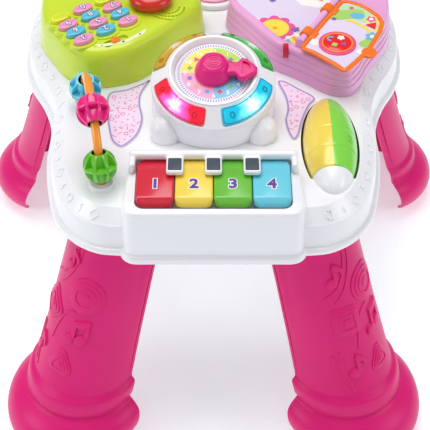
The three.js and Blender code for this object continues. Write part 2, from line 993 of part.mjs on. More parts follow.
// Stands a body of the clock's own frame on the deck, leaning to the front
function onClock(solid) {
  return solid.rotate([clock.leanDegrees, 0, 0]).translate([0, clockMiddle, deckHeight]);
}

function clockHousing() {
  const outer = turned([
    [0, -clock.skirtDepth],
    [clock.footRadius, -clock.skirtDepth],
    [clock.footRadius, clock.footTop],
    [clock.ringRadius, clock.ringFoot],
    [clock.ringRadius, clock.ringTop - clock.ringRound],
    [clock.ringRadius - clock.ringRound, clock.ringTop],
    [clock.ringInnerRadius + clock.ringRound, clock.ringTop],
    [clock.ringInnerRadius, clock.ringTop - clock.ringRound],
    [clock.ringInnerRadius, clock.dialSeat],
    [0, clock.dialSeat],
  ], clock.segments);
  const [footIn, footUp] = slopePoint(0, -lamp.pocketDepth - clock.hollow);
  const [ringIn, ringUp] = slopePoint(lamp.slopeEnd, -lamp.pocketDepth - clock.hollow);
  const hollow = turned([
    [0, -clock.skirtDepth - overrun],
    [footIn, -clock.skirtDepth - overrun],
    [footIn, footUp],
    [ringIn, ringUp],
    [0, ringUp],
  ], clock.segments);
  const bore = cylinder(clock.boreRadius, 0, clock.ringTop, hand.segments);
  let housing = onClock(outer.subtract(hollow).subtract(bore));
  for (const side of [-1, 1]) {
    housing = housing.add(knuckleSolid(side));
  }
  for (let index = 0; index < corners.length; index += 1) {
    housing = housing.subtract(onClock(lampPocket(index)));
  }
  const floor = deckHeight + gap;
  const above = box(
    [-topHalfWidth, -topHalfDepth, floor],
    [topHalfWidth, topHalfDepth, deckHeight + clock.footRadius + clock.ringTop],
  );
  return housing.intersect(above);
}

// Round swelling at the foot of the clock housing
function knuckleSolid(side) {
  const profile = [[0, 0], [knuckle.radius, 0]];
  for (let i = 1; i <= knuckle.steps; i += 1) {
    const angle = i / knuckle.steps * Math.PI / 2;
    profile.push([knuckle.radius * Math.cos(angle), knuckle.height * Math.sin(angle)]);
  }
  return turned(profile, knuckle.segments)
    .translate([side * knuckle.side, clockMiddle - knuckle.forward, deckHeight]);
}

function clockDial() {
  const low = clock.dialSeat + gap;
  const face = cylinder(dial.radius, low, low + dial.thickness, clock.segments);
  const bore = cylinder(clock.boreRadius, low - overrun, low + overrun, hand.segments);
  return onClock(face.subtract(bore));
}

function clockHand() {
  const hub = turned([
    [0, hand.shaftFoot],
    [hand.shaftRadius, hand.shaftFoot],
    [hand.shaftRadius, hand.hubFoot],
    [hand.hubRadius, hand.hubFoot],
    [hand.hubRadius, hand.hubTop - clock.ringRound],
    [hand.hubRadius - clock.ringRound, hand.hubTop],
    [hand.knobRadius, hand.hubTop],
    [hand.knobRadius, hand.knobTop - clock.ringRound],
    [hand.knobRadius - clock.ringRound, hand.knobTop],
    [0, hand.knobTop],
  ], hand.segments);
  const arm = plate([
    [0, -hand.armHalfWidth],
    [hand.headStart, -hand.armHalfWidth],
    [hand.headStart, -hand.headHalfWidth],
    [hand.tip, 0],
    [hand.headStart, hand.headHalfWidth],
    [hand.headStart, hand.armHalfWidth],
    [0, hand.armHalfWidth],
  ], clock.ringTop + play, clock.ringTop + play + hand.armThickness);
  return onClock(hub.add(arm));
}

// Side view of a key, from its front to its hinge, swept across its width
function pianoKey(index) {
  const middle = (index - (key.count - 1) / 2) * key.pitch;
  const half = key.pitch / 2 - key.side;
  const front = -pianoFront + piano.wall + key.frontClear;
  const back = -recessBack - key.backClear;
  const shape = new THREE.Shape([
    new THREE.Vector2(front, keyBottom),
    new THREE.Vector2(back, keyBottom),
    new THREE.Vector2(back, keyTop),
    new THREE.Vector2(front + key.bevelRun, keyTop),
    new THREE.Vector2(front, keyTop - key.bevelDrop),
  ]);
  const geometry = new THREE.ExtrudeGeometry(shape, { depth: 2 * half, bevelEnabled: false });
  geometry.rotateX(Math.PI / 2);
  geometry.rotateZ(Math.PI / 2);
  geometry.translate(middle - half, 0, 0);
  return solidOf(geometry);
}

function sharpMiddle(index) {
  return (index - (sharp.count - 1) / 2) * key.pitch;
}

function keyBarSolid() {
  let bar = box(
    [-barHalfWidth, -barFront, barBottom],
    [barHalfWidth, -barBack, barTop],
  );
  bar = bar.add(box(
    [-barHalfWidth, -recessBack + keyBar.postClear, pianoTop + gap],
    [barHalfWidth, -barBack, barTop],
  ));
  for (let index = 0; index < sharp.count; index += 1) {
    const middle = sharpMiddle(index);
    const tongueHalf = sharp.halfWidth + sharp.frame;
    bar = bar.add(box(
      [middle - tongueHalf, -sharpFront - sharp.frontFrame, barBottom],
      [middle + tongueHalf, -barFront + gap, tongueTop],
    ));
    bar = bar.subtract(box(
      [middle - sharp.halfWidth - gap, -sharpFront - gap, barBottom - overrun],
      [middle + sharp.halfWidth + gap, -sharpBack + gap, barTop + overrun],
    ));
  }
  return bar;
}

function sharpKey(index) {
  const middle = sharpMiddle(index);
  return box(
    [middle - sharp.halfWidth, -sharpFront, sharpTop - sharp.thickness],
    [middle + sharp.halfWidth, -sharpBack, sharpTop],
  );
}

function beadWire() {
  const points = [];
  const foot = (degrees) => {
    const point = archPoint(degrees);
    point.z = deckHeight + boss.height - arch.sink;
    return point;
  };
  points.push(foot(0));
  for (let i = 0; i <= arch.stops; i += 1) {
    points.push(archPoint(180 * i / arch.stops));
  }
  points.push(foot(180));
  const section = new THREE.Shape(
    oval(arch.wireRadius, arch.wireRadius, arch.sectionSides)
      .map(([x, y]) => new THREE.Vector2(x, y)),
  );
  return solidOf(new THREE.ExtrudeGeometry(section, {
    steps: arch.steps,
    extrudePath: new THREE.CatmullRomCurve3(points),
  }));
}

// Bead on the wire, its bore along the wire
function beadSolid(degrees) {
  const half = Math.sqrt(bead.radius ** 2 - bead.boreRadius ** 2);
  const start = Math.asin(half / bead.radius);
  const profile = [];
  for (let i = 0; i <= bead.profileSteps; i += 1) {
    const angle = -start + 2 * start * i / bead.profileSteps;
    profile.push([bead.radius * Math.cos(angle), bead.radius * Math.sin(angle)]);
  }
  profile.push(profile[0]);
  const ahead = archPoint(degrees + 1).sub(archPoint(degrees - 1)).normalize();
  const turn = new THREE.Quaternion().setFromUnitVectors(new THREE.Vector3(0, 0, 1), ahead);
  const matrix = new THREE.Matrix4().compose(
    archPoint(degrees),
    turn,
    new THREE.Vector3(1, 1, 1),
  );
  const geometry = new THREE.LatheGeometry(
    profile.map(([radius, height]) => new THREE.Vector2(radius, height)),
    bead.segments,
  );
  geometry.rotateX(Math.PI / 2);
  geometry.applyMatrix4(matrix);
  return solidOf(geometry);
}

// Places on the telephone's keypad, by row and column
function keyPlace(row, column) {
  const across = (column - (keypad.columns - 1) / 2) * keypad.columnPitch;
  const along = (row - (keypad.rows - 1) / 2) * keypad.rowPitch;
  return placed([[across, along]], keypadMiddle, keypad.turnDegrees)[0];
}

function keyOval(row, column, grow) {
  const outline = oval(keypad.keyHalfLength + grow, keypad.keyHalfWidth + grow, keypad.sides);
  return placed(outline, keyPlace(row, column), keypad.turnDegrees);
}

function phoneKey(row, column) {
  const outline = anticlockwise(keyOval(row, column, 0));
  const low = phoneTop - keypad.sink;
  const high = phoneTop + keypad.rise;
  return stepped(outline, [[0, low], [0, high - play], [play, high]]);
}

function slotPlan(halfLength, halfWidth) {
  return placed([
    [-halfLength, -halfWidth],
    [halfLength, -halfWidth],
    [halfLength, halfWidth],
    [-halfLength, halfWidth],
  ], switchMiddle, keypad.turnDegrees);
}

function phoneBase() {
  const outline = podOutline(phone, phoneShares, -1);
  const outer = stepped(outline, [
    [0, deckHeight + gap],
    [phone.shoulderInset, phoneShoulder],
    [phone.topInset, phoneTop],
  ]);
  const wellDepth = keypad.sink + keypad.travel + gap;
  const roof = phoneTop - wellDepth - phone.wall;
  const inner = stepped(outline, [
    [phone.wall, deckHeight - overrun],
    [phone.shoulderInset + phone.wall, phoneShoulder - wellDepth],
    [phone.topInset + phone.wall, roof],
  ]);
  let base = outer.subtract(inner);
  for (let row = 0; row < keypad.rows; row += 1) {
    for (let column = 0; column < keypad.columns; column += 1) {
      base = base.subtract(plate(
        anticlockwise(keyOval(row, column, play / 2)),
        phoneTop - wellDepth,
        phoneTop + overrun,
      ));
    }
  }
  return base.subtract(besideDisc()).subtract(plate(
    slotPlan(modeSwitch.slotHalfLength, modeSwitch.slotHalfWidth),
    phoneTop - modeSwitch.slotDepth,
    phoneTop + overrun,
  ));
}

function modeSwitchSolid() {
  const low = phoneTop - modeSwitch.slotDepth + gap;
  return plate(
    slotPlan(modeSwitch.halfLength, modeSwitch.slotHalfWidth - gap),
    low,
    low + modeSwitch.rise,
  );
}

// Cup of the handset, round at its edges
function cupSolid(middle) {
  const low = phoneTop + handset.clear;
  const high = low + handset.cupHeight;
  return turned([
    [0, low],
    [handset.cupRadius - handset.cupRound, low],
    [handset.cupRadius, low + handset.cupRound],
    [handset.cupRadius, high - handset.cupRound],
    [handset.cupRadius - handset.cupRound, high],
    [0, high],
  ], handset.segments).translate([...middle, 0]);
}

function handsetSolid() {
  const [dx, dy] = mouth.map((value, axis) => value - ear[axis]);
  const length = Math.hypot(dx, dy);
  const low = phoneTop + handset.clear;
  const half = handset.cupRadius / 2;
  const shape = new THREE.Shape();
  shape.moveTo(-half, low + handset.cupRound);
  shape.lineTo(half, low + handset.cupRound);
  shape.quadraticCurveTo(
    length / 2,
    low + handset.handleRise + handset.cupRound,
    length - half,
    low + handset.cupRound,
  );
  shape.lineTo(length + half, low + handset.cupRound);
  shape.lineTo(length + half, low + handset.cupHeight);
  shape.quadraticCurveTo(
    length / 2,
    low + handset.handleTop + handset.handleRise / 2,
    -half,
    low + handset.cupHeight,
  );
  const geometry = new THREE.ExtrudeGeometry(shape, {
    depth: 2 * handset.handleHalfWidth,
    bevelEnabled: false,
    curveSegments: handset.curveSteps,
  });
  geometry.rotateX(Math.PI / 2);
  geometry.translate(0, handset.handleHalfWidth, 0);
  geometry.rotateZ(Math.atan2(dy, dx));
  geometry.translate(...ear, 0);
  return solidOf(geometry).add(cupSolid(ear)).add(cupSolid(mouth));
}

function bookBase() {
  const outline = podOutline(book, bookShares, 1);
  const rise = book.rise / (book.stepCount + 1);
  const levels = [[0, deckHeight + gap]];
  for (let step = 1; step <= book.stepCount; step += 1) {
    const height = deckHeight + rise * step;
    levels.push([book.stepIn * (step - 1) + book.stepLedge, height - play]);
    levels.push([book.stepIn * step + book.stepLedge, height]);
  }
  levels.push([book.topInset, bookTop]);
  const outer = stepped(outline, levels);
  const inner = stepped(outline, [
    [book.wall, deckHeight - overrun],
    [book.topInset + book.wall, bookTop - book.wall],
  ]);
  return outer.subtract(inner).subtract(besideDisc()).add(spineBlocks());
}

// Point of the book's own frame: across from the spine, and along it from its front end
function bookPoint(across, along) {
  return placed([[along, -across]], spineFoot, spine.turnDegrees)[0];
}

function spineRod(grow, from, to) {
  return cylinder(spine.radius + grow, from, to, spine.sides)
    .rotate([0, 90, 0])
    .rotate([0, 0, spine.turnDegrees])
    .translate([...spineFoot, bookTop + spine.rise]);
}

// Blocks that hold the ends of the spine rod
function spineBlocks() {
  const ends = [
    [-spine.endBlock, 0],
    [spine.length, spine.length + spine.endBlock],
  ];
  let blocks = null;
  for (const [from, to] of ends) {
    const half = spine.blockHalfWidth;
    const outline = anticlockwise([
      bookPoint(-half, from),
      bookPoint(half, from),
      bookPoint(half, to),
      bookPoint(-half, to),
    ]);
    const block = plate(
      outline,
      bookTop - book.wall,
      bookTop + spine.rise + spine.radius + play,
    );
    blocks = blocks ? blocks.add(block) : block;
  }
  return blocks.subtract(spineRod(gap, -spine.endBlock / 2 - gap, spine.length + spine.endBlock / 2 + gap));
}

// Page with its two rings round the rod
function bookPage() {
  const outline = anticlockwise(pageShares.map(([across, along]) =>
    bookPoint(spine.radius + play + across * page.width, along * page.length - page.lead)));
  const low = bookTop + spine.rise - page.thickness / 2;
  let leaf = plate(outline, low, low + page.thickness);
  leaf = leaf.subtract(spineRod(play, -page.length, 2 * page.length));
  for (const share of page.eyeShares) {
    const from = share * spine.length - page.eyeLength / 2;
    const eye = cylinder(page.eyeRadius + play, from, from + page.eyeLength, page.sides)
      .rotate([0, 90, 0])
      .rotate([0, 0, spine.turnDegrees])
      .translate([...spineFoot, bookTop + spine.rise]);
    const reach = page.eyeRadius + page.width / 4;
    const strap = plate(anticlockwise([
      bookPoint(0, from),
      bookPoint(reach, from),
      bookPoint(reach, from + page.eyeLength),
      bookPoint(0, from + page.eyeLength),
    ]), low, low + page.thickness);
    leaf = leaf.add(strap).add(eye);
  }
  return leaf.subtract(spineRod(gap, -page.length, 2 * page.length));
}

function bookmarkTab() {
  const { across, start, halfWidth, length } = bookmark;
  const outline = anticlockwise([
    bookPoint(across - halfWidth, start),
    bookPoint(across + halfWidth, start),
    bookPoint(across + halfWidth, start + length),
    bookPoint(across - halfWidth, start + length),
  ]);
  const low = bookTop + gap;
  return plate(outline, low, low + bookmark.thickness);
}

function discBase() {
  const low = deckHeight + gap;
  const top = deckHeight + disc.baseHeight;
  return turned([
    [disc.pinRadius + gap, low],
    [disc.baseRadius, low],
    [disc.baseRadius, top - clock.ringRound],
    [disc.baseRadius - clock.ringRound, top],
    [disc.wellRadius, top],
    [disc.wellRadius, low + disc.wellFloor],
    [disc.pinRadius + gap, low + disc.wellFloor],
    [disc.pinRadius + gap, low],
  ], disc.segments).translate([0, discBack, 0]);
}

function spinDisc() {
  const low = deckHeight + gap + disc.wellFloor + gap;
  return turned([
    [0, deckHeight + 2 * gap],
    [disc.pinRadius, deckHeight + 2 * gap],
    [disc.pinRadius, low],
    [disc.radius, low],
    [disc.radius, low + disc.rise],
    [disc.hubRadius, low + disc.rise + clock.ringRound],
    [disc.hubRadius - clock.ringRound, low + disc.hubRise],
    [0, low + disc.hubRise],
  ], disc.segments).translate([0, discBack, 0]);
}

function decoPanel(shares) {
  const low = deckHeight + gap;
  const top = low + panelThickness;
  const panel = plate(anticlockwise(shares.map(onTop)), low, top);
  const besideClock = cylinder(
    clock.footRadius + panelClear,
    low - overrun,
    top + overrun,
    clock.segments,
    [0, clockMiddle],
  );
  const podPlan = (pod, podShares, side) => plate(
    inset(podOutline(pod, podShares, side), -gap),
    low - overrun,
    top + overrun,
  );
  return panel
    .subtract(besideClock)
    .subtract(besideRoller())
    .subtract(podPlan(phone, phoneShares, -1))
    .subtract(podPlan(book, bookShares, 1));
}

const model = new THREE.Group();
const add = (name, solid, material) => model.add(piece(name, solid, material));
const white = () => paint(0xf4f3f8, 0.35);

add('top_shell', topShell(), white());
add('bottom_cover', bottomCover(), paint(0xe4e3ea, 0.5));
add('battery_door', batteryDoor(), paint(0xe4e3ea, 0.5));
add('battery_door_screw', doorScrew(), paint(0xb8bcc0, 0.3, 1));
for (let index = 0; index < cell.count; index += 1) {
  add(`battery_cell_${index + 1}`, batteryCell(index), paint(0x3a6ea5, 0.4, 0.4));
}
add('circuit_board', circuitBoard(), paint(0x2f7d4f, 0.5));
add('speaker', speakerSolid(), paint(0x33363a, 0.6));
for (const corner of corners) {
  add(`leg_${corner.name}`, legSolid(corner), paint(0xe63a90, 0.4));
}

add('clock_housing', clockHousing(), white());
add('clock_dial', clockDial(), paint(0xf4e65a, 0.4));
add('clock_hand', clockHand(), paint(0xe82c8a, 0.35));
const lampKinds = [
  ['green', 0x3cc24a], ['yellow', 0xe0b81a], ['red', 0xff2d4a], ['cyan', 0x10d8f0],
];
lampKinds.forEach(([name, color], index) => {
  add(`light_button_${name}`, onClock(lampSolid(index)), paint(color, 0.2));
});

const keyColors = [0xd91f3a, 0xf7d95b, 0x6cbf3a, 0x6fd3e8];
keyColors.forEach((color, index) => {
  add(`piano_key_${index + 1}`, pianoKey(index), paint(color, 0.3));
});
add('key_bar', keyBarSolid(), white());
for (let index = 0; index < sharp.count; index += 1) {
  add(`sharp_key_${index + 1}`, sharpKey(index), paint(0x3e4b57, 0.4));
}

add('bead_wire', beadWire(), paint(0xffa040, 0.35));
add('bead_green', beadSolid(bead.restDegrees), paint(0x6cc82b, 0.35));
add('bead_pink', beadSolid(bead.middleDegrees), paint(0xf0218a, 0.35));
add('bead_blue', beadSolid(180 - bead.restDegrees), paint(0x5bc9e4, 0.35));
add('roller', rollerSolid(), paint(0x8fdd52, 0.3));

add('phone_base', phoneBase(), paint(0xc3d93a, 0.35));
for (let row = 0; row < keypad.rows; row += 1) {
  for (let column = 0; column < keypad.columns; column += 1) {
    const color = (row + column) % 2 === 0 ? 0xf29ac8 : 0x63c8e0;
    add(`phone_key_${row + 1}_${column + 1}`, phoneKey(row, column), paint(color, 0.35));
  }
}
add('mode_switch', modeSwitchSolid(), paint(0xffa41c, 0.35));
add('handset', handsetSolid(), paint(0xc8322f, 0.35));

add('book_base', bookBase(), paint(0xe3a8dc, 0.35));
add('spine_rod', spineRod(0, -spine.endBlock / 2, spine.length + spine.endBlock / 2),
  paint(0xcf82b8, 0.35));
add('book_page', bookPage(), paint(0xff7f1f, 0.35));
add('bookmark_tab', bookmarkTab(), paint(0xd92a3a, 0.35));

add('disc_base', discBase(), white());
add('spin_disc', spinDisc(), paint(0xf5a3cb, 0.35));
add('deco_panel_left', decoPanel(leftPanelShares), paint(0xf1d9f2, 0.4));
add('deco_panel_right', decoPanel(rightPanelShares), paint(0xf1d9f2, 0.4));

export default model;
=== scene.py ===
# %% [markdown]
# # A musical activity table for babies
# The real toy stands on four flared legs and carries a lobed white top with a piano, a clock,
# a telephone, a page-turning book, a bead wire, a roller and a spinning disc.
# Nearly all of it is injection-moulded ABS, so each piece is built as its mould would leave it:
# an outline that rises in steps, with a rounding on every edge.
# Everything below is modelled in millimetres, and one function turns it to metres at the end.

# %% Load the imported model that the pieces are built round
import json
import math

import bmesh
import bpy
from mathutils import Matrix, Vector
from mathutils.geometry import interpolate_bezier

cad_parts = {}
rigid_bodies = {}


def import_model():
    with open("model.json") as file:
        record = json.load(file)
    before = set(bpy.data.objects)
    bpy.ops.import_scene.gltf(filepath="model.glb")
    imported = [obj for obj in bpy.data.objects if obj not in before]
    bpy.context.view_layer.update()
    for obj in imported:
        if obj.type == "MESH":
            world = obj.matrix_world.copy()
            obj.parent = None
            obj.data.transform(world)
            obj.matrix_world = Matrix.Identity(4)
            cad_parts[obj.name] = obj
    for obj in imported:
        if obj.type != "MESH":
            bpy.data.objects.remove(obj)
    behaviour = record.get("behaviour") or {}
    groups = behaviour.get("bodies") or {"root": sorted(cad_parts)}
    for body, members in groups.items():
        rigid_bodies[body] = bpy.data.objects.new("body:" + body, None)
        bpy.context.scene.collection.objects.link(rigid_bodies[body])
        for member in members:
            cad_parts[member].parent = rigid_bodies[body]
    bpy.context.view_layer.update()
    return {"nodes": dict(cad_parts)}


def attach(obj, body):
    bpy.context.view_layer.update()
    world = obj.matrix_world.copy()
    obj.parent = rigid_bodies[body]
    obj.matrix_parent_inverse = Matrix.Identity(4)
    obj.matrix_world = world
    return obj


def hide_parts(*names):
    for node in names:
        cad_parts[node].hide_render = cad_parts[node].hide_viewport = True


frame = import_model()
METRES_PER_MM = 0.001

# %% [markdown]
# ## Finishes
# Every finish starts from what it is on the toy. Colours are written as sRGB hex, the way a
# colour picker gives them, and one function turns them to the linear values that Blender mixes.

# %% Colour and node helpers
def linear(hex_colour):
    """The linear RGBA value of an sRGB hex colour."""
    channels = [int(hex_colour[at:at + 2], 16) / 255 for at in (1, 3, 5)]
    bright = [c / 12.92 if c <= 0.04045 else ((c + 0.055) / 1.055) ** 2.4 for c in channels]
    return (*bright, 1.0)


def add_node(tree, kind, inputs=None, **settings):
    """Adds a node with its settings, and links or sets its inputs."""
    node = tree.nodes.new(kind)
    for name, value in settings.items():
        setattr(node, name, value)
    for socket, value in (inputs or {}).items():
        if isinstance(value, bpy.types.NodeSocket):
            tree.links.new(value, node.inputs[socket])
        else:
            node.inputs[socket].default_value = value
    return node


def new_material(name):
    """A new material with its empty node tree, and its surface shader."""
    material = bpy.data.materials.new(name)
    material.use_nodes = True
    tree = material.node_tree
    tree.nodes.clear()
    shader = add_node(tree, "ShaderNodeBsdfPrincipled")
    add_node(tree, "ShaderNodeOutputMaterial", {"Surface": shader.outputs["BSDF"]})
    return material, tree, shader


# %% [markdown]
# Injection-moulded ABS is nearly even, but never quite: the pigment drifts by a percent or two
# over some centimetres, fine grain from the mould breaks up the gloss, and handling leaves
# slightly duller patches. Three noise textures on Object coordinates give these, at sizes in mm.

# %% Moulded ABS plastic
PIGMENT_DRIFT_MM = 45
HANDLING_MM = 12
GRAIN_MM = 0.9
GRAIN_DEPTH_MM = 0.1
COAT_ROUGHNESS = 0.12


def per_metre(size_mm):
    """Noise scale whose features are about so many millimetres wide."""
    return 1 / (size_mm * METRES_PER_MM)


def moulded(name, colour, roughness, drift=0.06, grain=0.05, coat=0.25, ior=1.5):
    """ABS in one colour: pigment drift, handling marks and mould grain."""
    material, tree, shader = new_material(name)
    place = add_node(tree, "ShaderNodeTexCoord").outputs["Object"]
    pigment = add_node(tree, "ShaderNodeTexNoise", {
        "Vector": place, "Scale": per_metre(PIGMENT_DRIFT_MM), "Detail": 3.0})
    base = linear(colour)
    darker = (*[c * (1 - drift) for c in base[:3]], 1.0)
    lighter = (*[min(1.0, c * (1 + drift)) for c in base[:3]], 1.0)
    tint = add_node(tree, "ShaderNodeMix", {
        "Factor": pigment.outputs["Fac"]}, data_type="RGBA")
    # A Mix node's colours are its inputs 6 and 7 and its output 2
    tint.inputs[6].default_value = darker
    tint.inputs[7].default_value = lighter
    tree.links.new(tint.outputs[2], shader.inputs["Base Color"])
    handling = add_node(tree, "ShaderNodeTexNoise", {
        "Vector": place, "Scale": per_metre(HANDLING_MM), "Detail": 4.0})
    gloss = add_node(tree, "ShaderNodeMapRange", {
        "Value": handling.outputs["Fac"], "To Min": roughness * 0.94, "To Max": roughness * 1.08})
    tree.links.new(gloss.outputs["Result"], shader.inputs["Roughness"])
    mould = add_node(tree, "ShaderNodeTexNoise", {
        "Vector": place, "Scale": per_metre(GRAIN_MM), "Detail": 2.0})
    bump = add_node(tree, "ShaderNodeBump", {
        "Strength": grain, "Distance": GRAIN_DEPTH_MM * METRES_PER_MM,
        "Height": mould.outputs["Fac"]})
    tree.links.new(bump.outputs["Normal"], shader.inputs["Normal"])
    shader.inputs["IOR"].default_value = ior
    shader.inputs["Coat Weight"].default_value = coat
    shader.inputs["Coat Roughness"].default_value = COAT_ROUGHNESS
    return material


white_abs = moulded("white moulded ABS", "#F5F5FA", 0.26, drift=0.01, grain=0.02)
grey_abs = moulded("grey moulded ABS of the tray", "#DCDBE2", 0.5, coat=0.0, grain=0.12)
pink_abs = moulded("deep pink moulded ABS of the legs", "#E4207A", 0.34, coat=0.0, ior=1.3)
lime_abs = moulded("lime moulded ABS", "#CCE232", 0.26, coat=0.15)
lilac_abs = moulded("lilac moulded ABS", "#EDAADC", 0.28, drift=0.03, coat=0.15)
orange_abs = moulded("orange moulded ABS", "#FF8A26", 0.27)
wire_abs = moulded("orange sleeve of the bead wire", "#FF9C2C", 0.18, coat=0.5)
scarlet_abs = moulded("scarlet moulded ABS of the handset", "#D22A20", 0.24)
magenta_abs = moulded("magenta moulded ABS", "#E61C80", 0.3, coat=0.08, ior=1.4)
slate_abs = moulded("slate grey moulded ABS", "#3C4A57", 0.42, coat=0.05)
# Black ABS for the speaker; the same black is painted shade on the walls of the roller's slot
black_abs_and_slot_shade = moulded("black ABS and painted slot shade", "#16171B", 0.6, coat=0.0)
candy_abs = moulded("candy pink moulded ABS", "#F49CC6", 0.27, drift=0.03)
sky_abs = moulded("sky blue moulded ABS", "#5CC6E2", 0.27, drift=0.04)
lemon_abs = moulded("lemon moulded ABS", "#E6EE3E", 0.27, drift=0.03)
violet_ink = moulded("violet pad-printing ink", "#5E3A9B", 0.4, coat=0.0, grain=0.02)
white_ink = moulded("white pad-printing ink", "#FBFAFD", 0.4, coat=0.0, grain=0.02)
print("first finishes:", len(bpy.data.materials))

# %% [markdown]
# ## Shapes
# Most pieces are an outline that climbs in steps. A ring of edges starts as a circle with as
# many corners as the outline has, and is extruded level by level. Each corner remembers its
# place in the outline in a small integer layer, which an extrusion copies, so any outline can
# be laid on any ring. Rings that need a rounding are bevelled at the end.

# %% Outlines
def even_curve(points, count):
    """A smooth closed curve through the points, as so many corners at equal distances."""
    through = [Vector(point).to_2d() for point in points]
    steps = 24
    fine = []
    for at in range(len(through)):
        p0, p1, p2, p3 = (through[(at + k) % len(through)] for k in (-1, 0, 1, 2))
        d0, d1, d2 = ((b - a).length ** 0.5 for a, b in ((p0, p1), (p1, p2), (p2, p3)))
        out = ((p1 - p0) / d0 - (p2 - p0) / (d0 + d1) + (p2 - p1) / d1) * d1
        into = ((p2 - p1) / d1 - (p3 - p1) / (d1 + d2) + (p3 - p2) / d2) * d1
        for step in range(steps):
            t = step / steps
            fine.append(
                p1 * (2 * t ** 3 - 3 * t ** 2 + 1) + out * (t ** 3 - 2 * t ** 2 + t)
                + p2 * (3 * t ** 2 - 2 * t ** 3) + into * (t ** 3 - t ** 2))
    return spaced(fine, count)


def spaced(points, count):
    """So many corners at equal distances along a closed chain of points."""
    chain = [Vector(point).to_2d() for point in points]
    lengths = [(chain[(at + 1) % len(chain)] - point).length for at, point in enumerate(chain)]
    pitch = sum(lengths) / count
    picked, walked, at = [], 0.0, 0
    for corner in range(count):
        goal = corner * pitch
        while walked + lengths[at] < goal:
            walked += lengths[at]
            at += 1
        share = (goal - walked) / lengths[at]
        picked.append(chain[at].lerp(chain[(at + 1) % len(chain)], share))
    return picked


def anticlockwise(points):
    """The points in anticlockwise order."""
    points = [Vector(point) for point in points]
    area = sum(a.x * b.y - b.x * a.y for a, b in zip(points, points[1:] + points[:1]))
    return points if area > 0 else points[::-1]


def inset(points, distance):
    """The outline moved inwards by a distance."""
    moved = []
    for at, point in enumerate(points):
        along = (points[(at + 1) % len(points)] - points[at - 1]).normalized()
        moved.append(point + Vector((-along.y, along.x)) * distance)
    return moved


def rounded_corners(corners, radius, steps=6):
    """A polygon with arcs at its corners: of one radius, or of an anticlockwise list of them."""
    corners = anticlockwise([Vector(corner).to_2d() for corner in corners])
    radii = radius if isinstance(radius, list) else [radius] * len(corners)
    points = []
    for at, (corner, radius) in enumerate(zip(corners, radii)):
        to_last = (corners[at - 1] - corner).normalized()
        to_next = (corners[(at + 1) % len(corners)] - corner).normalized()
        half = to_last.angle(to_next) / 2
        start = corner + to_last * radius / math.tan(half)
        end = corner + to_next * radius / math.tan(half)
        middle = corner + (to_last + to_next).normalized() * radius / math.sin(half)
        sweep = (start - middle).angle_signed(end - middle)
        for step in range(steps + 1):
            turn = Matrix.Rotation(-sweep * step / steps, 2)
            points.append(middle + turn @ (start - middle))
    return points


def on_circle(radius, turn):
    """The flat point at a radius and a turn in radians."""
    return Vector((radius * math.cos(turn), radius * math.sin(turn)))


def oval(half_length, half_width, count=40):
    """Corners of an oval round the origin."""
    return [
        Vector((half_length * math.cos(turn), half_width * math.sin(turn)))
        for turn in (2 * math.pi * at / count for at in range(count))]


def arc_band(radius, width, from_degrees, to_degrees):
    """Outline of a bow."""
    sweep = to_degrees - from_degrees
    steps = 24
    turns = [math.radians(from_degrees + sweep * step / steps) for step in range(steps + 1)]
    outer = [on_circle(radius, turn) for turn in turns]
    return outer + [on_circle(radius - width, turn) for turn in reversed(turns)]


def box(low_x, low_y, high_x, high_y):
    """The four corners of an upright rectangle, anticlockwise."""
    return [(low_x, low_y), (high_x, low_y), (high_x, high_y), (low_x, high_y)]


def centred_box(half_length, half_width):
    """The four corners of a rectangle round the origin."""
    return box(-half_length, -half_width, half_length, half_width)


def placed(points, middle, turn_degrees=0.0):
    """Flat points turned and moved."""
    turn = Matrix.Rotation(math.radians(turn_degrees), 2)
    return [turn @ Vector(point) + Vector(middle) for point in points]


# %% Rings that climb level by level
def start_ring(bm, count):
    """A ring of edges whose corners know their place in an outline."""
    at = bm.verts.layers.int.get("at") or bm.verts.layers.int.new("at")
    ring = bmesh.ops.create_circle(bm, cap_ends=False, segments=count, radius=1)["verts"]
    for number, corner in enumerate(ring):
        corner[at] = number
    inside = set(ring)
    return [edge for edge in bm.edges if edge.verts[0] in inside]


def lay(bm, edges, places):
    """Moves each corner of a ring to its place."""
    at = bm.verts.layers.int["at"]
    for corner in {corner for edge in edges for corner in edge.verts}:
        corner.co = places[corner[at]]


def picked(items, kind):
    """The corners, or the edges, among the items that an operator returns."""
    return [item for item in items if isinstance(item, kind)]


def climb(bm, rings, rounds=None, closed=True):
    """A body through rings of places, each ring rounded by its own radius."""
    edges = start_ring(bm, len(rings[0]))
    lay(bm, edges, rings[0])
    levels = [edges]
    for places in rings[1:]:
        grown = bmesh.ops.extrude_edge_only(bm, edges=edges)["geom"]
        edges = [edge for edge in picked(grown, bmesh.types.BMEdge) if edge.is_boundary]
        lay(bm, edges, places)
        levels.append(edges)
    if closed:
        bmesh.ops.edgeloop_fill(bm, edges=levels[0])
        bmesh.ops.edgeloop_fill(bm, edges=levels[-1])
    for edges, radius in zip(levels, rounds or []):
        if radius:
            bmesh.ops.bevel(
                bm, geom=[edge for edge in edges if edge.is_valid], offset=radius,
                offset_type="OFFSET", segments=4, profile=0.5, affect="EDGES", material=-1)
    return bm


def stepped(outline, levels, closed=True):
    """A body from (inset, height, rounding) levels of one outline."""
    rings = [[(p.x, p.y, level[1]) for p in inset(outline, level[0])] for level in levels]
    rounds = [level[2] if len(level) > 2 else 0 for level in levels]
    return climb(bmesh.new(), rings, rounds, closed)


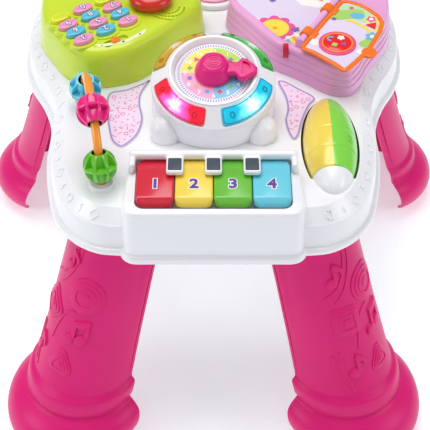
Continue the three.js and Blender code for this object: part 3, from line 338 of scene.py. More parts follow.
def turned(profile, segments, middle=(0, 0, 0)):
    """A body spun round the upright axis from (radius, height) points, then moved."""
    bm = bmesh.new()
    chain = [bm.verts.new((radius, 0, height)) for radius, height in profile]
    edges = [bm.edges.new(pair) for pair in zip(chain, chain[1:])]
    bmesh.ops.spin(
        bm, geom=chain + edges, angle=2 * math.pi, steps=segments, axis=(0, 0, 1),
        cent=(0, 0, 0), use_merge=True)
    bmesh.ops.remove_doubles(bm, verts=bm.verts, dist=0.001)
    bmesh.ops.recalc_face_normals(bm, faces=bm.faces)
    return move(bm, Matrix.Translation(middle))


def softened(profile, radius, steps=4):
    """A profile of (radius, height) points whose inner corners are rounded."""
    points = [Vector(point) for point in profile]
    soft = [points[0]]
    for last, corner, after in zip(points, points[1:], points[2:]):
        reach = min(radius, (corner - last).length / 2.1, (corner - after).length / 2.1)
        start = corner + (last - corner).normalized() * reach
        end = corner + (after - corner).normalized() * reach
        for step in range(steps + 1):
            t = step / steps
            soft.append(start * (1 - t) ** 2 + corner * 2 * t * (1 - t) + end * t ** 2)
    soft.append(points[-1])
    return soft


def move(bm, matrix):
    """Moves a whole shape."""
    bmesh.ops.transform(bm, matrix=matrix, verts=bm.verts)
    return bm


def standing(x, y, z=0.0, turn_degrees=0.0):
    """The matrix that turns a shape about the upright axis and moves it to a place."""
    turn = Matrix.Rotation(math.radians(turn_degrees), 4, "Z")
    return Matrix.Translation((x, y, z)) @ turn


def split(bm, place, normal, keep_above=False):
    """Cuts every face along a plane, and can drop what lies below it and close the cut."""
    bmesh.ops.bisect_plane(
        bm, geom=bm.verts[:] + bm.edges[:] + bm.faces[:], plane_co=place, plane_no=normal,
        clear_inner=keep_above)
    if keep_above:
        close_holes(bm)


def close_holes(bm):
    """Fills every open rim."""
    bmesh.ops.holes_fill(bm, edges=[edge for edge in bm.edges if edge.is_boundary], sides=0)


# %% Joining, cutting and finishing
def as_object(bm, name, *materials):
    """A plain object of a shape, in millimetres."""
    mesh = bpy.data.meshes.new(name)
    bm.to_mesh(mesh)
    bm.free()
    for material in materials:
        mesh.materials.append(material)
    made = bpy.data.objects.new(name, mesh)
    bpy.context.scene.collection.objects.link(made)
    return made


def shape_of(made):
    """The shape of an object with its modifiers applied."""
    bpy.context.view_layer.update()
    bm = bmesh.new()
    bm.from_mesh(made.evaluated_get(bpy.context.evaluated_depsgraph_get()).to_mesh())
    return bm


def discard(made):
    """Removes a working object and its mesh or curve."""
    data = made.data
    bpy.data.objects.remove(made)
    bpy.data.batch_remove([data])


def combined(first, second, operation, materials=()):
    """The exact union, difference or intersection of two shapes."""
    body = as_object(first, "working body", *materials)
    tool = as_object(second, "working tool", *materials)
    change = body.modifiers.new("combine", "BOOLEAN")
    change.operation = operation
    change.solver = "EXACT"
    change.object = tool
    bm = shape_of(body)
    for scrap in (body, tool):
        discard(scrap)
    return bm


def joined(*shapes):
    """Several shapes that don't meet, as one."""
    whole = bmesh.new()
    for shape in shapes:
        mesh = bpy.data.meshes.new("part")
        shape.to_mesh(mesh)
        shape.free()
        whole.from_mesh(mesh)
        bpy.data.meshes.remove(mesh)
    return whole


def blended(bm, voxel, rounds):
    """A shape whose joints are smoothed over."""
    body = as_object(bm, "working body")
    remesh = body.modifiers.new("remesh", "REMESH")
    remesh.mode = "VOXEL"
    remesh.voxel_size = voxel
    smooth = body.modifiers.new("smooth", "SMOOTH")
    smooth.factor = 0.5
    smooth.iterations = rounds
    whole = shape_of(body)
    discard(body)
    return whole


def finish(name, bm, materials, body="table", stands_for=(), sharp=38):
    """The finished piece: metres, smooth faces with sharp edges kept, riding on its body."""
    bmesh.ops.remove_doubles(bm, verts=bm.verts, dist=0.0005)
    scale = Matrix.Scale(METRES_PER_MM, 4)
    bmesh.ops.transform(bm, matrix=scale, verts=bm.verts)
    for face in bm.faces:
        face.smooth = True
    for edge in bm.edges:
        edge.smooth = edge.is_manifold and edge.calc_face_angle(0.0) < math.radians(sharp)
    materials = materials if isinstance(materials, (list, tuple)) else [materials]
    made = as_object(bm, name, *materials)
    if stands_for:
        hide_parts(*stands_for)
    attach(made, body)
    return made


def moulding(node, bm, materials, sharp=38, moves=False):
    """The finished piece that stands for a plain solid, on the table or on a body of its own."""
    body = node if moves else "table"
    return finish(node + "_moulding", bm, materials, body, [node], sharp)


# %% [markdown]
# Raised marks such as digits, rings and notes are small prisms. They are drawn flat, with Z as
# the height above the surface, and a mapping then bends them onto the piece that carries them.

# %% Small marks
def prism(outline, low, high, edge=0.0):
    """A flat outline between two heights."""
    return stepped(anticlockwise(list(outline)), [(0, low), (0, high, edge)])


def ring_mark(radius, width, low, high, count=40):
    """A raised ring."""
    half = width / 2
    return turned([
        (radius - half, low), (radius + half, low), (radius + half, high),
        (radius - half, high), (radius - half, low)], count)


def text_mark(text, size, low, high, swell=0.0):
    """Digits as a prism, centred on the origin, grown by the swell."""
    curve = bpy.data.curves.new("digits", "FONT")
    curve.body = text
    curve.size = size
    curve.align_x = "CENTER"
    curve.align_y = "CENTER"
    curve.offset = swell
    curve.extrude = (high - low) / 2
    curve.resolution_u = 4
    words = bpy.data.objects.new("digits", curve)
    bpy.context.scene.collection.objects.link(words)
    bm = shape_of(words)
    discard(words)
    bmesh.ops.remove_doubles(bm, verts=bm.verts, dist=0.001)
    middle = sum((v.co for v in bm.verts), Vector()) / len(bm.verts)
    low_x, high_x = (pick(v.co.x for v in bm.verts) for pick in (min, max))
    low_y, high_y = (pick(v.co.y for v in bm.verts) for pick in (min, max))
    shift = Vector((-(low_x + high_x) / 2, -(low_y + high_y) / 2, (low + high) / 2 - middle.z))
    return move(bm, Matrix.Translation(shift))


def wrapped(bm, mapping, strip=0.0):
    """A flat mark bent onto a surface by a mapping of its points, cut into strips first."""
    if strip:
        low, high = (pick(v.co.x for v in bm.verts) for pick in (min, max))
        for cut in range(1, int((high - low) / strip) + 1):
            split(bm, (low + cut * strip, 0, 0), (1, 0, 0))
    for corner in bm.verts:
        corner.co = mapping(corner.co)
    bmesh.ops.recalc_face_normals(bm, faces=bm.faces)
    return bm


# %% [markdown]
# ## The tabletop
# The top is one deep white moulding with a lobe at each corner: a lip at the foot, a nearly
# upright wall, a sloping band with embossed marks, and the flat deck. The right half of the
# outline is a handful of shares of its half width and half depth, and the left half mirrors it.

# %% The lobed rim
TOP_HALF_WIDTH = 219
TOP_HALF_DEPTH = 223
TOP_MIDDLE_BACK = 29
DECK = 312
RIM_FOOT = 264
LIP_TOP = 270
LIP_STEP = 4.6
WALL_INNER = 10.5
UNDER_DECK = 308.5
BAND_FOOT = 298
BAND_TOP = 310
BAND_FOOT_INSET = 7
BAND_TOP_INSET = 20
SLOPE_INSET = 9.4
SLOPE_FOOT = BAND_FOOT + 1.2
DECK_INSET = 25
RIM_CORNERS = 320
rim_shares = [
    (0, -1), (0.27, -1), (0.44, -0.995), (0.54, -0.98), (0.65, -0.915), (0.74, -0.795),
    (0.79, -0.623), (0.82, -0.395), (0.82, -0.152), (0.87, 0.013), (0.94, 0.148),
    (0.99, 0.3), (1, 0.534), (0.965, 0.7), (0.88, 0.843), (0.73, 0.937),
    (0.5, 0.978), (0.27, 0.987), (0, 1)]
right_rim = [(x * TOP_HALF_WIDTH, TOP_MIDDLE_BACK + y * TOP_HALF_DEPTH) for x, y in rim_shares]
left_rim = [(-x, y) for x, y in right_rim[-2:0:-1]]
rim = anticlockwise(even_curve(right_rim + left_rim, RIM_CORNERS))
# Inset, height and rounding of each level: the hollow under the deck, the lip, the wall, the
# sloping band and the deck
shell = stepped(rim, [
    (23.5, UNDER_DECK), (WALL_INNER, 294.5), (WALL_INNER, RIM_FOOT), (0, RIM_FOOT, 0.8),
    (0, LIP_TOP, 2.2), (LIP_STEP, LIP_TOP + 1, 1.2), (BAND_FOOT_INSET, BAND_FOOT, 1.6),
    (SLOPE_INSET, SLOPE_FOOT, 0.6),
    (BAND_TOP_INSET, BAND_TOP, 0.8), (22, DECK + 0.1, 0.5), (DECK_INSET, DECK, 0.8)])
bmesh.ops.recalc_face_normals(shell, faces=shell.faces)
print("rim corners:", len(rim), "shell faces:", len(shell.faces))

# %% [markdown]
# The piano stands on a block that breaks through the front of the rim. It has its own lip at
# the foot, and a bed for the keys is sunk into it.

# %% The piano's block
BLOCK_FRONT = -200
BLOCK_BACK = -121
BLOCK_FRONT_HALF = 91
BLOCK_BACK_HALF = 85
BLOCK_TOP = 330
BLOCK_LIP = 4.5
BED_TOP = 316
BED_HALF = 77.2
BED_FRONT = -191.5
BED_BACK = -126
block_plan = rounded_corners([
    (-BLOCK_FRONT_HALF, BLOCK_FRONT), (BLOCK_FRONT_HALF, BLOCK_FRONT),
    (BLOCK_BACK_HALF, BLOCK_BACK), (-BLOCK_BACK_HALF, BLOCK_BACK)], 13, steps=10)
block = stepped(block_plan, [
    (-BLOCK_LIP, RIM_FOOT), (-BLOCK_LIP, LIP_TOP + 1, 2.2), (-0.5, LIP_TOP + 2.5, 1.2),
    (0, BLOCK_TOP, 3.6)])
shell = combined(shell, block, "UNION")
bed_plan = rounded_corners(box(-BED_HALF, BED_FRONT, BED_HALF, BED_BACK), 9)
bed = stepped(bed_plan, [(0, BED_TOP), (0, BLOCK_TOP - 1.6), (-1.6, BLOCK_TOP + 4)])

# %% [markdown]
# The roller turns in a slot whose walls are painted black: painted shade in the hollow. Its front
# end is a fixed white nose that carries on the same egg shape and dies into the deck.

# %% The roller's slot and nose
ROLLER_X = 121.5
ROLLER_Y = -81
ROLLER_Z = 309
ROLLER_HALF = 73
ROLLER_RADIUS = 28.5
ROLLER_CUT = 0.67
SLOT_CLEAR = 2
NOSE_FOOT = 309.5
GAP = 0.3


def egg(from_share, to_share, grow=0.0, steps=28):
    """(radius, height) points of the roller's egg, between two shares of its half length."""
    points = []
    for step in range(steps + 1):
        share = from_share + (to_share - from_share) * step / steps
        radius = (ROLLER_RADIUS + grow) * math.sqrt(max(0.0, 1 - share * share))
        points.append((radius, share * (ROLLER_HALF + grow)))
    return points


def on_roller_axis(bm):
    """Lays a body spun round Z along the roller's axis, its top end to the front."""
    laid = Matrix.Translation((ROLLER_X, ROLLER_Y, ROLLER_Z)) @ Matrix.Rotation(math.pi / 2, 4, "X")
    return move(bm, laid)


cut_at = ROLLER_CUT * ROLLER_HALF
slot_egg = [(r, min(h, cut_at + GAP)) for r, h in egg(-1, 0.72, SLOT_CLEAR)]
slot = on_roller_axis(turned(slot_egg + [(0, cut_at + GAP)], 72))
nose = on_roller_axis(turned([(0, cut_at + GAP)] + egg(ROLLER_CUT + 0.006, 1), 72))
split(nose, (0, 0, NOSE_FOOT), (0, 0, 1), keep_above=True)
for face in bed.faces:
    face.material_index = 0
# Faces cut by the slot take the second material, black: painted shade on the slot's walls
for face in slot.faces:
    face.material_index = 1
shell_materials = [white_abs, black_abs_and_slot_shade]
shell = combined(shell, joined(bed, slot), "DIFFERENCE", shell_materials)
shell = combined(shell, nose, "UNION", shell_materials)

# %% [markdown]
# Two low bosses hold the feet of the bead wire.

# %% Bosses of the bead wire
BOSS_RADIUS = 13
BOSS_FLANGE = 1.5
BOSS_FOOT = 310
BOSS_TOP = 317
SOCKET_FLOOR = 311.5
WIRE_REAR = Vector((-137, -11, BOSS_TOP))
WIRE_FRONT = Vector((-113, -139, BOSS_TOP))
WIRE_RADIUS = 4.5
for foot in (WIRE_REAR, WIRE_FRONT):
    profile = softened([
        (0, BOSS_FOOT), (BOSS_RADIUS + BOSS_FLANGE, BOSS_FOOT),
        (BOSS_RADIUS + BOSS_FLANGE, BOSS_FOOT + 2.4), (BOSS_RADIUS, BOSS_FOOT + 3.2),
        (BOSS_RADIUS - 1, BOSS_TOP), (WIRE_RADIUS + 1, BOSS_TOP),
        (WIRE_RADIUS + GAP, BOSS_TOP - 1), (WIRE_RADIUS + GAP, SOCKET_FLOOR),
        (0, SOCKET_FLOOR)], 0.9)
    boss = turned(profile, 48, middle=(foot.x, foot.y, 0))
    shell = combined(shell, boss, "UNION", shell_materials)
top_shell = moulding("top_shell", shell, shell_materials)
print("tabletop faces:", len(top_shell.data.polygons))

# %% [markdown]
# The band carries low raised marks, moulded with the shell: plain digits, rings and squares.
# A mark is drawn flat and then bent along the rim, its top towards the deck.

# %% Marks on the sloping band
BAND_SLOPE = math.radians(45.5)
BAND_MIDDLE = 7.6
MARK_SINK = -0.6
MARK_RISE = 0.9
# The band is shorter than the rim that the marks are placed along
MARK_STRETCH = 1.08
BAND_DIGIT_SIZE = 12
BAND_MARK_PITCH = 22
PIANO_CLEAR = 14
rim_pitch = sum((b - a).length for a, b in zip(rim, rim[1:] + rim[:1])) / len(rim)


def on_band(along):
    """Mapping of a flat mark to the band, so many millimetres along the rim."""
    def mapping(point):
        at = (along + point.x * MARK_STRETCH) / rim_pitch
        whole = math.floor(at)
        here, after = rim[whole % len(rim)], rim[(whole + 1) % len(rim)]
        tangent = (rim[(whole + 2) % len(rim)] - rim[whole - 1]).normalized()
        inward = Vector((-tangent.y, tangent.x))
        foot = here.lerp(after, at - whole)
        up = BAND_MIDDLE + point.y
        flat = SLOPE_INSET + up * math.cos(BAND_SLOPE) - point.z * math.sin(BAND_SLOPE)
        height = SLOPE_FOOT + up * math.sin(BAND_SLOPE) + point.z * math.cos(BAND_SLOPE)
        spot = foot + inward * flat
        return Vector((spot.x, spot.y, height))
    return mapping


def band_mark(number):
    """The next mark of the series: a digit, a ring or a square."""
    kind = number % 4
    if kind == 1:
        return ring_mark(4.2, 1.6, MARK_SINK, MARK_RISE)
    if kind == 3:
        return ring_mark(5.4, 1.6, MARK_SINK, MARK_RISE, 4)
    return text_mark(str(1 + number // 2 % 9), BAND_DIGIT_SIZE, MARK_SINK, MARK_RISE)


rim_length = rim_pitch * len(rim)
band_marks = []
for number in range(int(rim_length / BAND_MARK_PITCH)):
    along = (number + 0.5) * BAND_MARK_PITCH
    spot = rim[int(along / rim_pitch)]
    if abs(spot.x) < BLOCK_FRONT_HALF + PIANO_CLEAR and spot.y < 0:
        continue
    band_marks.append(wrapped(band_mark(number), on_band(along)))
finish("band_marks", joined(*band_marks), white_abs, sharp=30)
print("marks on the band:", len(band_marks))

# %% [markdown]
# ## The legs
# Each leg is a deep pink moulding, open towards the middle of the table: a tapered body, a
# rounded collar, and a foot that swells out like a bell and turns in again at the floor. Its
# section is a thick open arc, swept through rings that follow the real profile. A groove runs
# down the outside beside both ends of the arc.

# %% The leg's profile
LEG_TOP = 262
LEG_LEAN = 0.355
LEG_WALL = 4
LEG_HALF_SPAN = 108
leg_profile = [
    (0, 62), (2.5, 64.5), (8, 69), (14, 73.4), (20, 76.4), (26, 78.3), (32, 79), (38, 78.6),
    (44, 77), (49, 73.6), (53, 69), (56, 64.6), (58, 61.4), (60, 60.8), (61.2, 62), (64, 62.9),
    (76, 62.9), (79.6, 62.2), (81.6, 60.4), (83, 57.8), (86, 56.8), (140, 54), (200, 51.5),
    (LEG_TOP, 49.5)]
# Degrees in from the arc's end, and the depth of the groove there
edge_groove = [(8.6, 0), (8.2, 1.6), (6.2, 1.6), (5.8, 0), (0, 0)]
GROOVE_FROM = 86
leg_tops = {
    "front_left": (-96, -132.5), "front_right": (96, -132.5),
    "rear_left": (-153, 132.5), "rear_right": (153, 132.5)}


def leg_radius(height):
    """Outer radius of the leg's section at a height."""
    for (low, first), (high, last) in zip(leg_profile, leg_profile[1:]):
        if height <= high:
            return first + (last - first) * (height - low) / (high - low)
    return leg_profile[-1][1]


def leg_place(name):
    """Places of a leg's own points: angle round the section, height, and radius."""
    top = Vector(leg_tops[name])
    facing = math.atan2(math.copysign(1, top.y), math.copysign(1, top.x))

    def place(turn, height, radius):
        middle = top + on_circle(1, facing) * (LEG_TOP - height) * LEG_LEAN
        return (*(middle + on_circle(radius, facing + turn)), height)
    return place


def leg_body(name):
    """The thick open arc, swept from the floor to the tray."""
    place = leg_place(name)
    steps = 52
    plain = LEG_HALF_SPAN - 10
    stations = [(plain * (2 * step / steps - 1), 0) for step in range(steps + 1)]
    stations += [(LEG_HALF_SPAN - back, depth) for back, depth in edge_groove]
    stations = [(back - LEG_HALF_SPAN, depth) for back, depth in reversed(edge_groove)] + stations
    rings = []
    for height, radius in leg_profile:
        cut = 1 if height > GROOVE_FROM else 0
        outer = [
            place(math.radians(turn), height, radius - depth * cut) for turn, depth in stations]
        inner = [
            place(math.radians(turn), height, radius - LEG_WALL)
            for turn, depth in reversed(stations)]
        rings.append(outer + inner)
    bm = climb(bmesh.new(), rings)
    bmesh.ops.recalc_face_normals(bm, faces=bm.faces)
    return bm


# %% Marks on the legs
def frame_mark(outline, width, low, high, edge):
    """A raised frame that follows an outline."""
    bm = stepped(anticlockwise(list(outline)), [
        (0, low), (0, high, edge), (width, high, edge), (width, low)], closed=False)
    bmesh.ops.bridge_loops(bm, edges=[item for item in bm.edges if item.is_boundary])
    return bm


def polygon(corner_count, radius, turn_degrees, rounding):
    """A regular polygon with rounded corners."""
    corners = [
        on_circle(radius, math.radians(turn_degrees + 360 * corner / corner_count))
        for corner in range(corner_count)]
    return rounded_corners(corners, rounding, 4)


def stacked(outline, frame_width):
    """A triple mark: a wide low pad, a second step, and a raised frame round a small button."""
    def shrunk(share):
        return [Vector(point) * share for point in outline]

    return joined(
        prism(outline, -3, 1.5, 1.0), prism(shrunk(0.8), 1.0, 2.7, 0.8),
        frame_mark(shrunk(0.58), frame_width, 2.2, 3.7, 0.5),
        prism(shrunk(0.26), 2.2, 3.4, 0.4))


def note(scale, double=False):
    """A music note of a head, a stem and a flag, or two of them under a beam."""
    def scaled(points):
        return [Vector(point) * scale for point in points]

    def head(x, y):
        return prism(placed(oval(5.8 * scale, 4.8 * scale, 28), (x * scale, y * scale), 20),
                     -3, 2.9, 1.2)

    shapes = [head(-2.6, -8.4), prism(scaled([(0, -8), (3.8, -8), (3.8, 8), (0, 7)]), -3, 2.5, 0.8)]
    if double:
        shapes.append(head(9.6, -6))
        shapes.append(prism(scaled([(12.2, -6), (16, -6), (16, 9), (12.2, 9)]), -3, 2.4, 0.8))
        shapes.append(prism(scaled([(0, 5), (16, 8), (16, 14), (0, 11)]), -3, 2.7, 0.8))
    else:
        flag = [(0, 7), (3.8, 4), (7.6, 2), (8.6, -2), (11.4, -1), (10.6, 5), (6, 9), (1.6, 12)]
        shapes.append(prism(scaled(flag), -3, 2.7, 0.8))
    return joined(*shapes)


def path_rib(points, width, high):
    """A low rib along a smooth path."""
    knots = [Vector((*point, 0)) for point in points]
    fine = []
    for at in range(len(knots) - 1):
        before = knots[max(at - 1, 0)]
        after = knots[min(at + 2, len(knots) - 1)]
        first = knots[at] + (knots[at + 1] - before) / 6
        last = knots[at + 1] - (after - knots[at]) / 6
        fine += interpolate_bezier(knots[at], first, last, knots[at + 1], 8)[:-1]
    fine.append(knots[-1])
    left, right = [], []
    for at, point in enumerate(fine):
        along = (fine[min(at + 1, len(fine) - 1)] - fine[max(at - 1, 0)]).normalized()
        side = Vector((-along.y, along.x, 0)) * width / 2
        left.append((point + side).to_2d())
        right.append((point - side).to_2d())
    return prism(right + left[::-1], -1.5, high, 0.3)


# Angle round the leg in degrees, height, and the mark there
left_marks = [
    (-10, 236, lambda: note(0.95)), (-28, 172, lambda: stacked(polygon(4, 22.5, 90, 5), 1.6)),
    (20, 203, lambda: stacked(oval(21, 20), 2)), (14, 160, lambda: note(1.15, True)),
    (8, 118, lambda: stacked(polygon(3, 24, 90, 7), 1.6)), (-32, 122, lambda: note(1.0))]
right_marks = [
    (-24, 230, lambda: note(1.05)), (18, 204, lambda: stacked(oval(21, 20), 2)),
    (-20, 174, lambda: stacked(polygon(4, 22.5, 45, 5), 1.6)), (12, 160, lambda: note(1.1, True)),
    (12, 114, lambda: stacked(polygon(3, 23, 90, 7), 1.6)), (-22, 122, lambda: note(1.05))]
# Flowing ribs between the marks, as angle and height
rib_paths = [
    [(-4, 258), (-8, 236), (-22, 214), (-40, 204)], [(3, 258), (-1, 234), (-14, 210), (-30, 196)],
    [(12, 182), (0, 176), (-8, 160), (-14, 138)], [(-38, 140), (-38, 122), (-34, 106), (-30, 90)],
    [(-46, 136), (-46, 120), (-42, 104), (-38, 90)]]


def leg_marks(name, marks):
    """All the raised marks of one leg, bent onto it."""
    place = leg_place(name)

    def bent(middle_degrees, height):
        def mapping(point):
            level = height + point.y
            radius = leg_radius(level)
            turn = math.radians(middle_degrees) + point.x / radius
            return Vector(place(turn, level, radius + point.z))
        return mapping

    shapes = [
        wrapped(mark(), bent(middle, height), 3) for middle, height, mark in marks]
    for path in rib_paths:
        flat = [(math.radians(turn) * leg_radius(height), height) for turn, height in path]
        shapes.append(wrapped(path_rib(flat, 2.0, 1.1), bent(0, 0), 3))
    return joined(*shapes)


for name in leg_tops:
    marks = left_marks if name.endswith("left") else right_marks
    moulding("leg_" + name, leg_body(name), pink_abs, sharp=50)
    finish("leg_" + name + "_marks", leg_marks(name, marks), pink_abs, sharp=50)
print("legs:", len(leg_tops))

# %% [markdown]
# ## The clock
# The housing leans a little to the front. Four lit buttons sit in its sloping shoulder, and a
# raised ring holds the dial. These are spun round the clock's own axis first. Two round
# swellings stand upright at its foot.

# %% The clock's housing
CLOCK_LEAN = 12
CLOCK_SUNK = -18
PIN_BORE = 4.5
CLOCK_MIDDLE = (0, -18.5, DECK)
FOOT_RADIUS = 65.5
FOOT_TOP = 46.5
RING_RADIUS = 46.5
RING_FOOT = 62.5
RING_TOP = 64
RING_INNER = 40.5
DIAL_SEAT = 56
clock_frame = Matrix.Translation(CLOCK_MIDDLE) @ Matrix.Rotation(
    math.radians(CLOCK_LEAN), 4, "X")
slope_run = FOOT_RADIUS - RING_RADIUS
slope_rise = RING_FOOT - FOOT_TOP
slope_length = math.hypot(slope_run, slope_rise)


def slope_point(up, out):
    """(radius, height) of a point so far up the shoulder and so far out of it."""
    return (
        FOOT_RADIUS - slope_run / slope_length * up + slope_rise / slope_length * out,
        FOOT_TOP + slope_rise / slope_length * up + slope_run / slope_length * out)


LAMP_START = 4.0
LAMP_END = 22.0
LAMP_HALF_GAP = 9.6
# The two buttons at the back sit a little further down the shoulder
LAMP_DOWN = (2.6, 2.6, 0, 0)
lamp_half_width = (LAMP_END - LAMP_START) / 2
lamp_middle_up = (LAMP_START + LAMP_END) / 2
lamp_radius = slope_point(lamp_middle_up, 0)[0]
lamp_half_turn = math.radians(45 - LAMP_HALF_GAP)


def lamp_plan(grow):
    """The button's outline, unrolled."""
    corners = centred_box(lamp_half_turn * lamp_radius + grow, lamp_half_width + grow)
    return spaced(rounded_corners(corners, 3.4, 8), 160)


def on_slope(turn_degrees, crown, down):
    """Mapping of an unrolled shape to the shoulder, crowned across its width."""
    def mapping(point):
        turn = math.radians(turn_degrees) + point.x / lamp_radius
        share = point.y / lamp_half_width
        lift = crown * max(0.0, 1 - share ** 2) if point.z > 0 else 0.0
        radius, height = slope_point(lamp_middle_up + point.y - down, point.z + lift)
        return clock_frame @ Vector((*on_circle(radius, turn), height))
    return mapping


housing = turned(softened([
    (0, CLOCK_SUNK), (FOOT_RADIUS, CLOCK_SUNK), (FOOT_RADIUS, FOOT_TOP), (RING_RADIUS, RING_FOOT),
    (RING_RADIUS, RING_TOP), (RING_RADIUS - 2.6, RING_TOP), (RING_INNER, DIAL_SEAT + 2),
    (RING_INNER, DIAL_SEAT), (0, DIAL_SEAT)], 0.9), 128)
move(housing, clock_frame)
KNUCKLE = 16
KNUCKLE_RISE = 322.6
KNUCKLE_PLACES = ((-50, -64.5), (50, -64.5))
for x, y in KNUCKLE_PLACES:
    arc = [on_circle(KNUCKLE, math.radians(turn)) + Vector((0, KNUCKLE_RISE))
           for turn in range(0, 91, 9)]
    dome = turned([(0, 300), (KNUCKLE, 300)] + arc, 48, middle=(x, y, 0))
    housing = combined(housing, dome, "UNION")
pockets = []
for quarter in range(4):
    pocket = stepped(lamp_plan(1.0), [(0, -7), (0, -2), (0, 9)])
    pockets.append(wrapped(pocket, on_slope(45 + 90 * quarter, 0, LAMP_DOWN[quarter] + 0.6), 3))
clock_bore = turned([(0, 20), (PIN_BORE, 20), (PIN_BORE, 68), (0, 68)], 32)
pockets.append(move(clock_bore, clock_frame))
housing = combined(housing, joined(*pockets), "DIFFERENCE")
split(housing, (0, 0, DECK + GAP), (0, 0, 1), keep_above=True)
moulding("clock_housing", housing, white_abs)

# %% [markdown]
# The lit buttons are clear tinted lenses with a lamp behind the middle: nearly white over the
# lamp, with soft rays, and falling off to the plain tint at both ends. The two at the front are
# lit; the two at the back show the same star with a faint painted glow. Each has a darker frame
# round its edge, painted shade of the lens edge, and a small oval mark at both ends.

# %% Lit lenses
STAR_RAYS = 8.0
STAR_HEART_MM = 5
STAR_REACH_MM = 30
RIPPLE_MM = 6
RIPPLE_SHIFT_MM = 8


def lit_lens(name, tint, halo, middle, glow):
    """A tinted lens with a lamp behind its middle, which shows as a soft star."""
    material, tree, shader = new_material(name)
    place = add_node(tree, "ShaderNodeTexCoord").outputs["Object"]
    offset = add_node(tree, "ShaderNodeVectorMath", {
        0: place, 1: tuple(middle * METRES_PER_MM)}, operation="SUBTRACT")
    reach = add_node(tree, "ShaderNodeVectorMath", {0: offset.outputs["Vector"]},
                     operation="LENGTH")
    parts = add_node(tree, "ShaderNodeSeparateXYZ", {"Vector": offset.outputs["Vector"]})
    angle = add_node(tree, "ShaderNodeMath", {
        0: parts.outputs["Y"], 1: parts.outputs["X"]}, operation="ARCTAN2")
    spin = add_node(tree, "ShaderNodeMath", {
        0: angle.outputs[0], 1: STAR_RAYS}, operation="MULTIPLY")
    rays = add_node(tree, "ShaderNodeMath", {0: spin.outputs[0]}, operation="COSINE")
    ray_reach = add_node(tree, "ShaderNodeMapRange", {
        "Value": rays.outputs[0], "From Min": -1.0, "To Min": 0.8, "To Max": 1.2})
    starred = add_node(tree, "ShaderNodeMath", {
        0: reach.outputs["Value"], 1: ray_reach.outputs["Result"]}, operation="DIVIDE")
    ripple = add_node(tree, "ShaderNodeTexNoise", {
        "Vector": place, "Scale": per_metre(RIPPLE_MM)})
    soft = add_node(tree, "ShaderNodeMath", {
        0: ripple.outputs["Fac"], 1: RIPPLE_SHIFT_MM * METRES_PER_MM,
        2: starred.outputs[0]}, operation="MULTIPLY_ADD")
    share = add_node(tree, "ShaderNodeMapRange", {
        "Value": soft.outputs[0], "From Min": STAR_HEART_MM * METRES_PER_MM,
        "From Max": STAR_REACH_MM * METRES_PER_MM})
    ramp = add_node(tree, "ShaderNodeValToRGB", {"Fac": share.outputs["Result"]})
    ramp.color_ramp.elements[0].color = linear("#FFFFFF")
    ramp.color_ramp.elements[1].color = linear(tint)
    ramp.color_ramp.elements[1].position = 0.8
    ramp.color_ramp.elements.new(0.36).color = linear(halo)
    tree.links.new(ramp.outputs["Color"], shader.inputs["Base Color"])
    tree.links.new(ramp.outputs["Color"], shader.inputs["Emission Color"])
    shader.inputs["Emission Strength"].default_value = glow
    shader.inputs["Roughness"].default_value = 0.12
    shader.inputs["IOR"].default_value = 1.49
    shader.inputs["Coat Weight"].default_value = 0.5
    return material


EYE_SHIFT = 24
# Name, tint, halo of the lamp, the darker colour of the edge frame (painted edge shade) and of the
# end marks, and how brightly it is lit: the pair at the back only with a faint painted glow
lamp_kinds = [
    # Green and yellow sit at the back, unlit: their faint glow and white star are painted light
    ("green", "#2CB43C", "#48C452", "#1F8C30", 0.04),
    ("yellow", "#CFA010", "#DDB42E", "#A67A08", 0.04),
    ("red", "#EE1834", "#FF6ADF", "#C40E2C", 0.5), ("cyan", "#05B4D4", "#7CF0F6", "#0482A6", 0.5)]
for quarter, (colour, tint, halo, dark, glow) in enumerate(lamp_kinds):
    turn = 45 + 90 * quarter
    mapping = on_slope(turn, 0.8, LAMP_DOWN[quarter])
    lens = stepped(lamp_plan(0), [(0, -4), (0, 0.3, 0.7), (2.4, 0.6), (5, 0.6)])
    lens = wrapped(lens, mapping, 2)
    material = lit_lens(colour + " tinted lens", tint, halo, mapping(Vector((0, 0, 2))), glow)
    # The darker frame round the lens edge is painted edge shade; the ovals at both ends are real
    # marks
    edge_shade_and_mark_paint = moulded(colour + " lens painted edge shade and end marks", dark, 0.2, coat=0.4)
    ends = [wrapped(frame_mark(lamp_plan(-0.5), 0.8, 0.3, 0.75, 0.1), mapping, 2)]
    for side in (-1, 1):
        eye = frame_mark(oval(2.7, 3.5, 28), 1.0, 0.3, 1.2, 0.2)
        ends.append(wrapped(move(eye, standing(side * EYE_SHIFT, 0)), mapping))
    body = "light_button_" + colour
    slot_name = "lamp_" + colour
    finish(body + "_lens", lens, material, body, [body], sharp=60)
    finish(body + "_marks", joined(*ends), edge_shade_and_mark_paint, body)
print("lit buttons:", len(lamp_kinds))

# %% [markdown]
# The dial is a printed disc: four coloured quarters, the hours in white and a ring of fine
# violet ticks. Each printed area is a thin prism of its own, so its edge stays crisp.

# %% The dial
DIAL_RADIUS = 39.5
DIAL_PRINT = 34
PIN_PRINT = 5
HOUR_RADIUS = 29.6
ICON_RADIUS = 25.5
dial_top = DIAL_SEAT + GAP + 1.6
HOUR_SIZE = 7.2
TICK_WEDGE = [(35, -0.46), (38, -0.54), (38, 0.54), (35, 0.46)]


def dial_inks(*kinds):
    """One printing ink for each name and colour."""
    return [
        moulded(name + " dial print", colour, 0.4, drift=0.03, coat=0.1, grain=0.02)
        for name, colour in kinds]


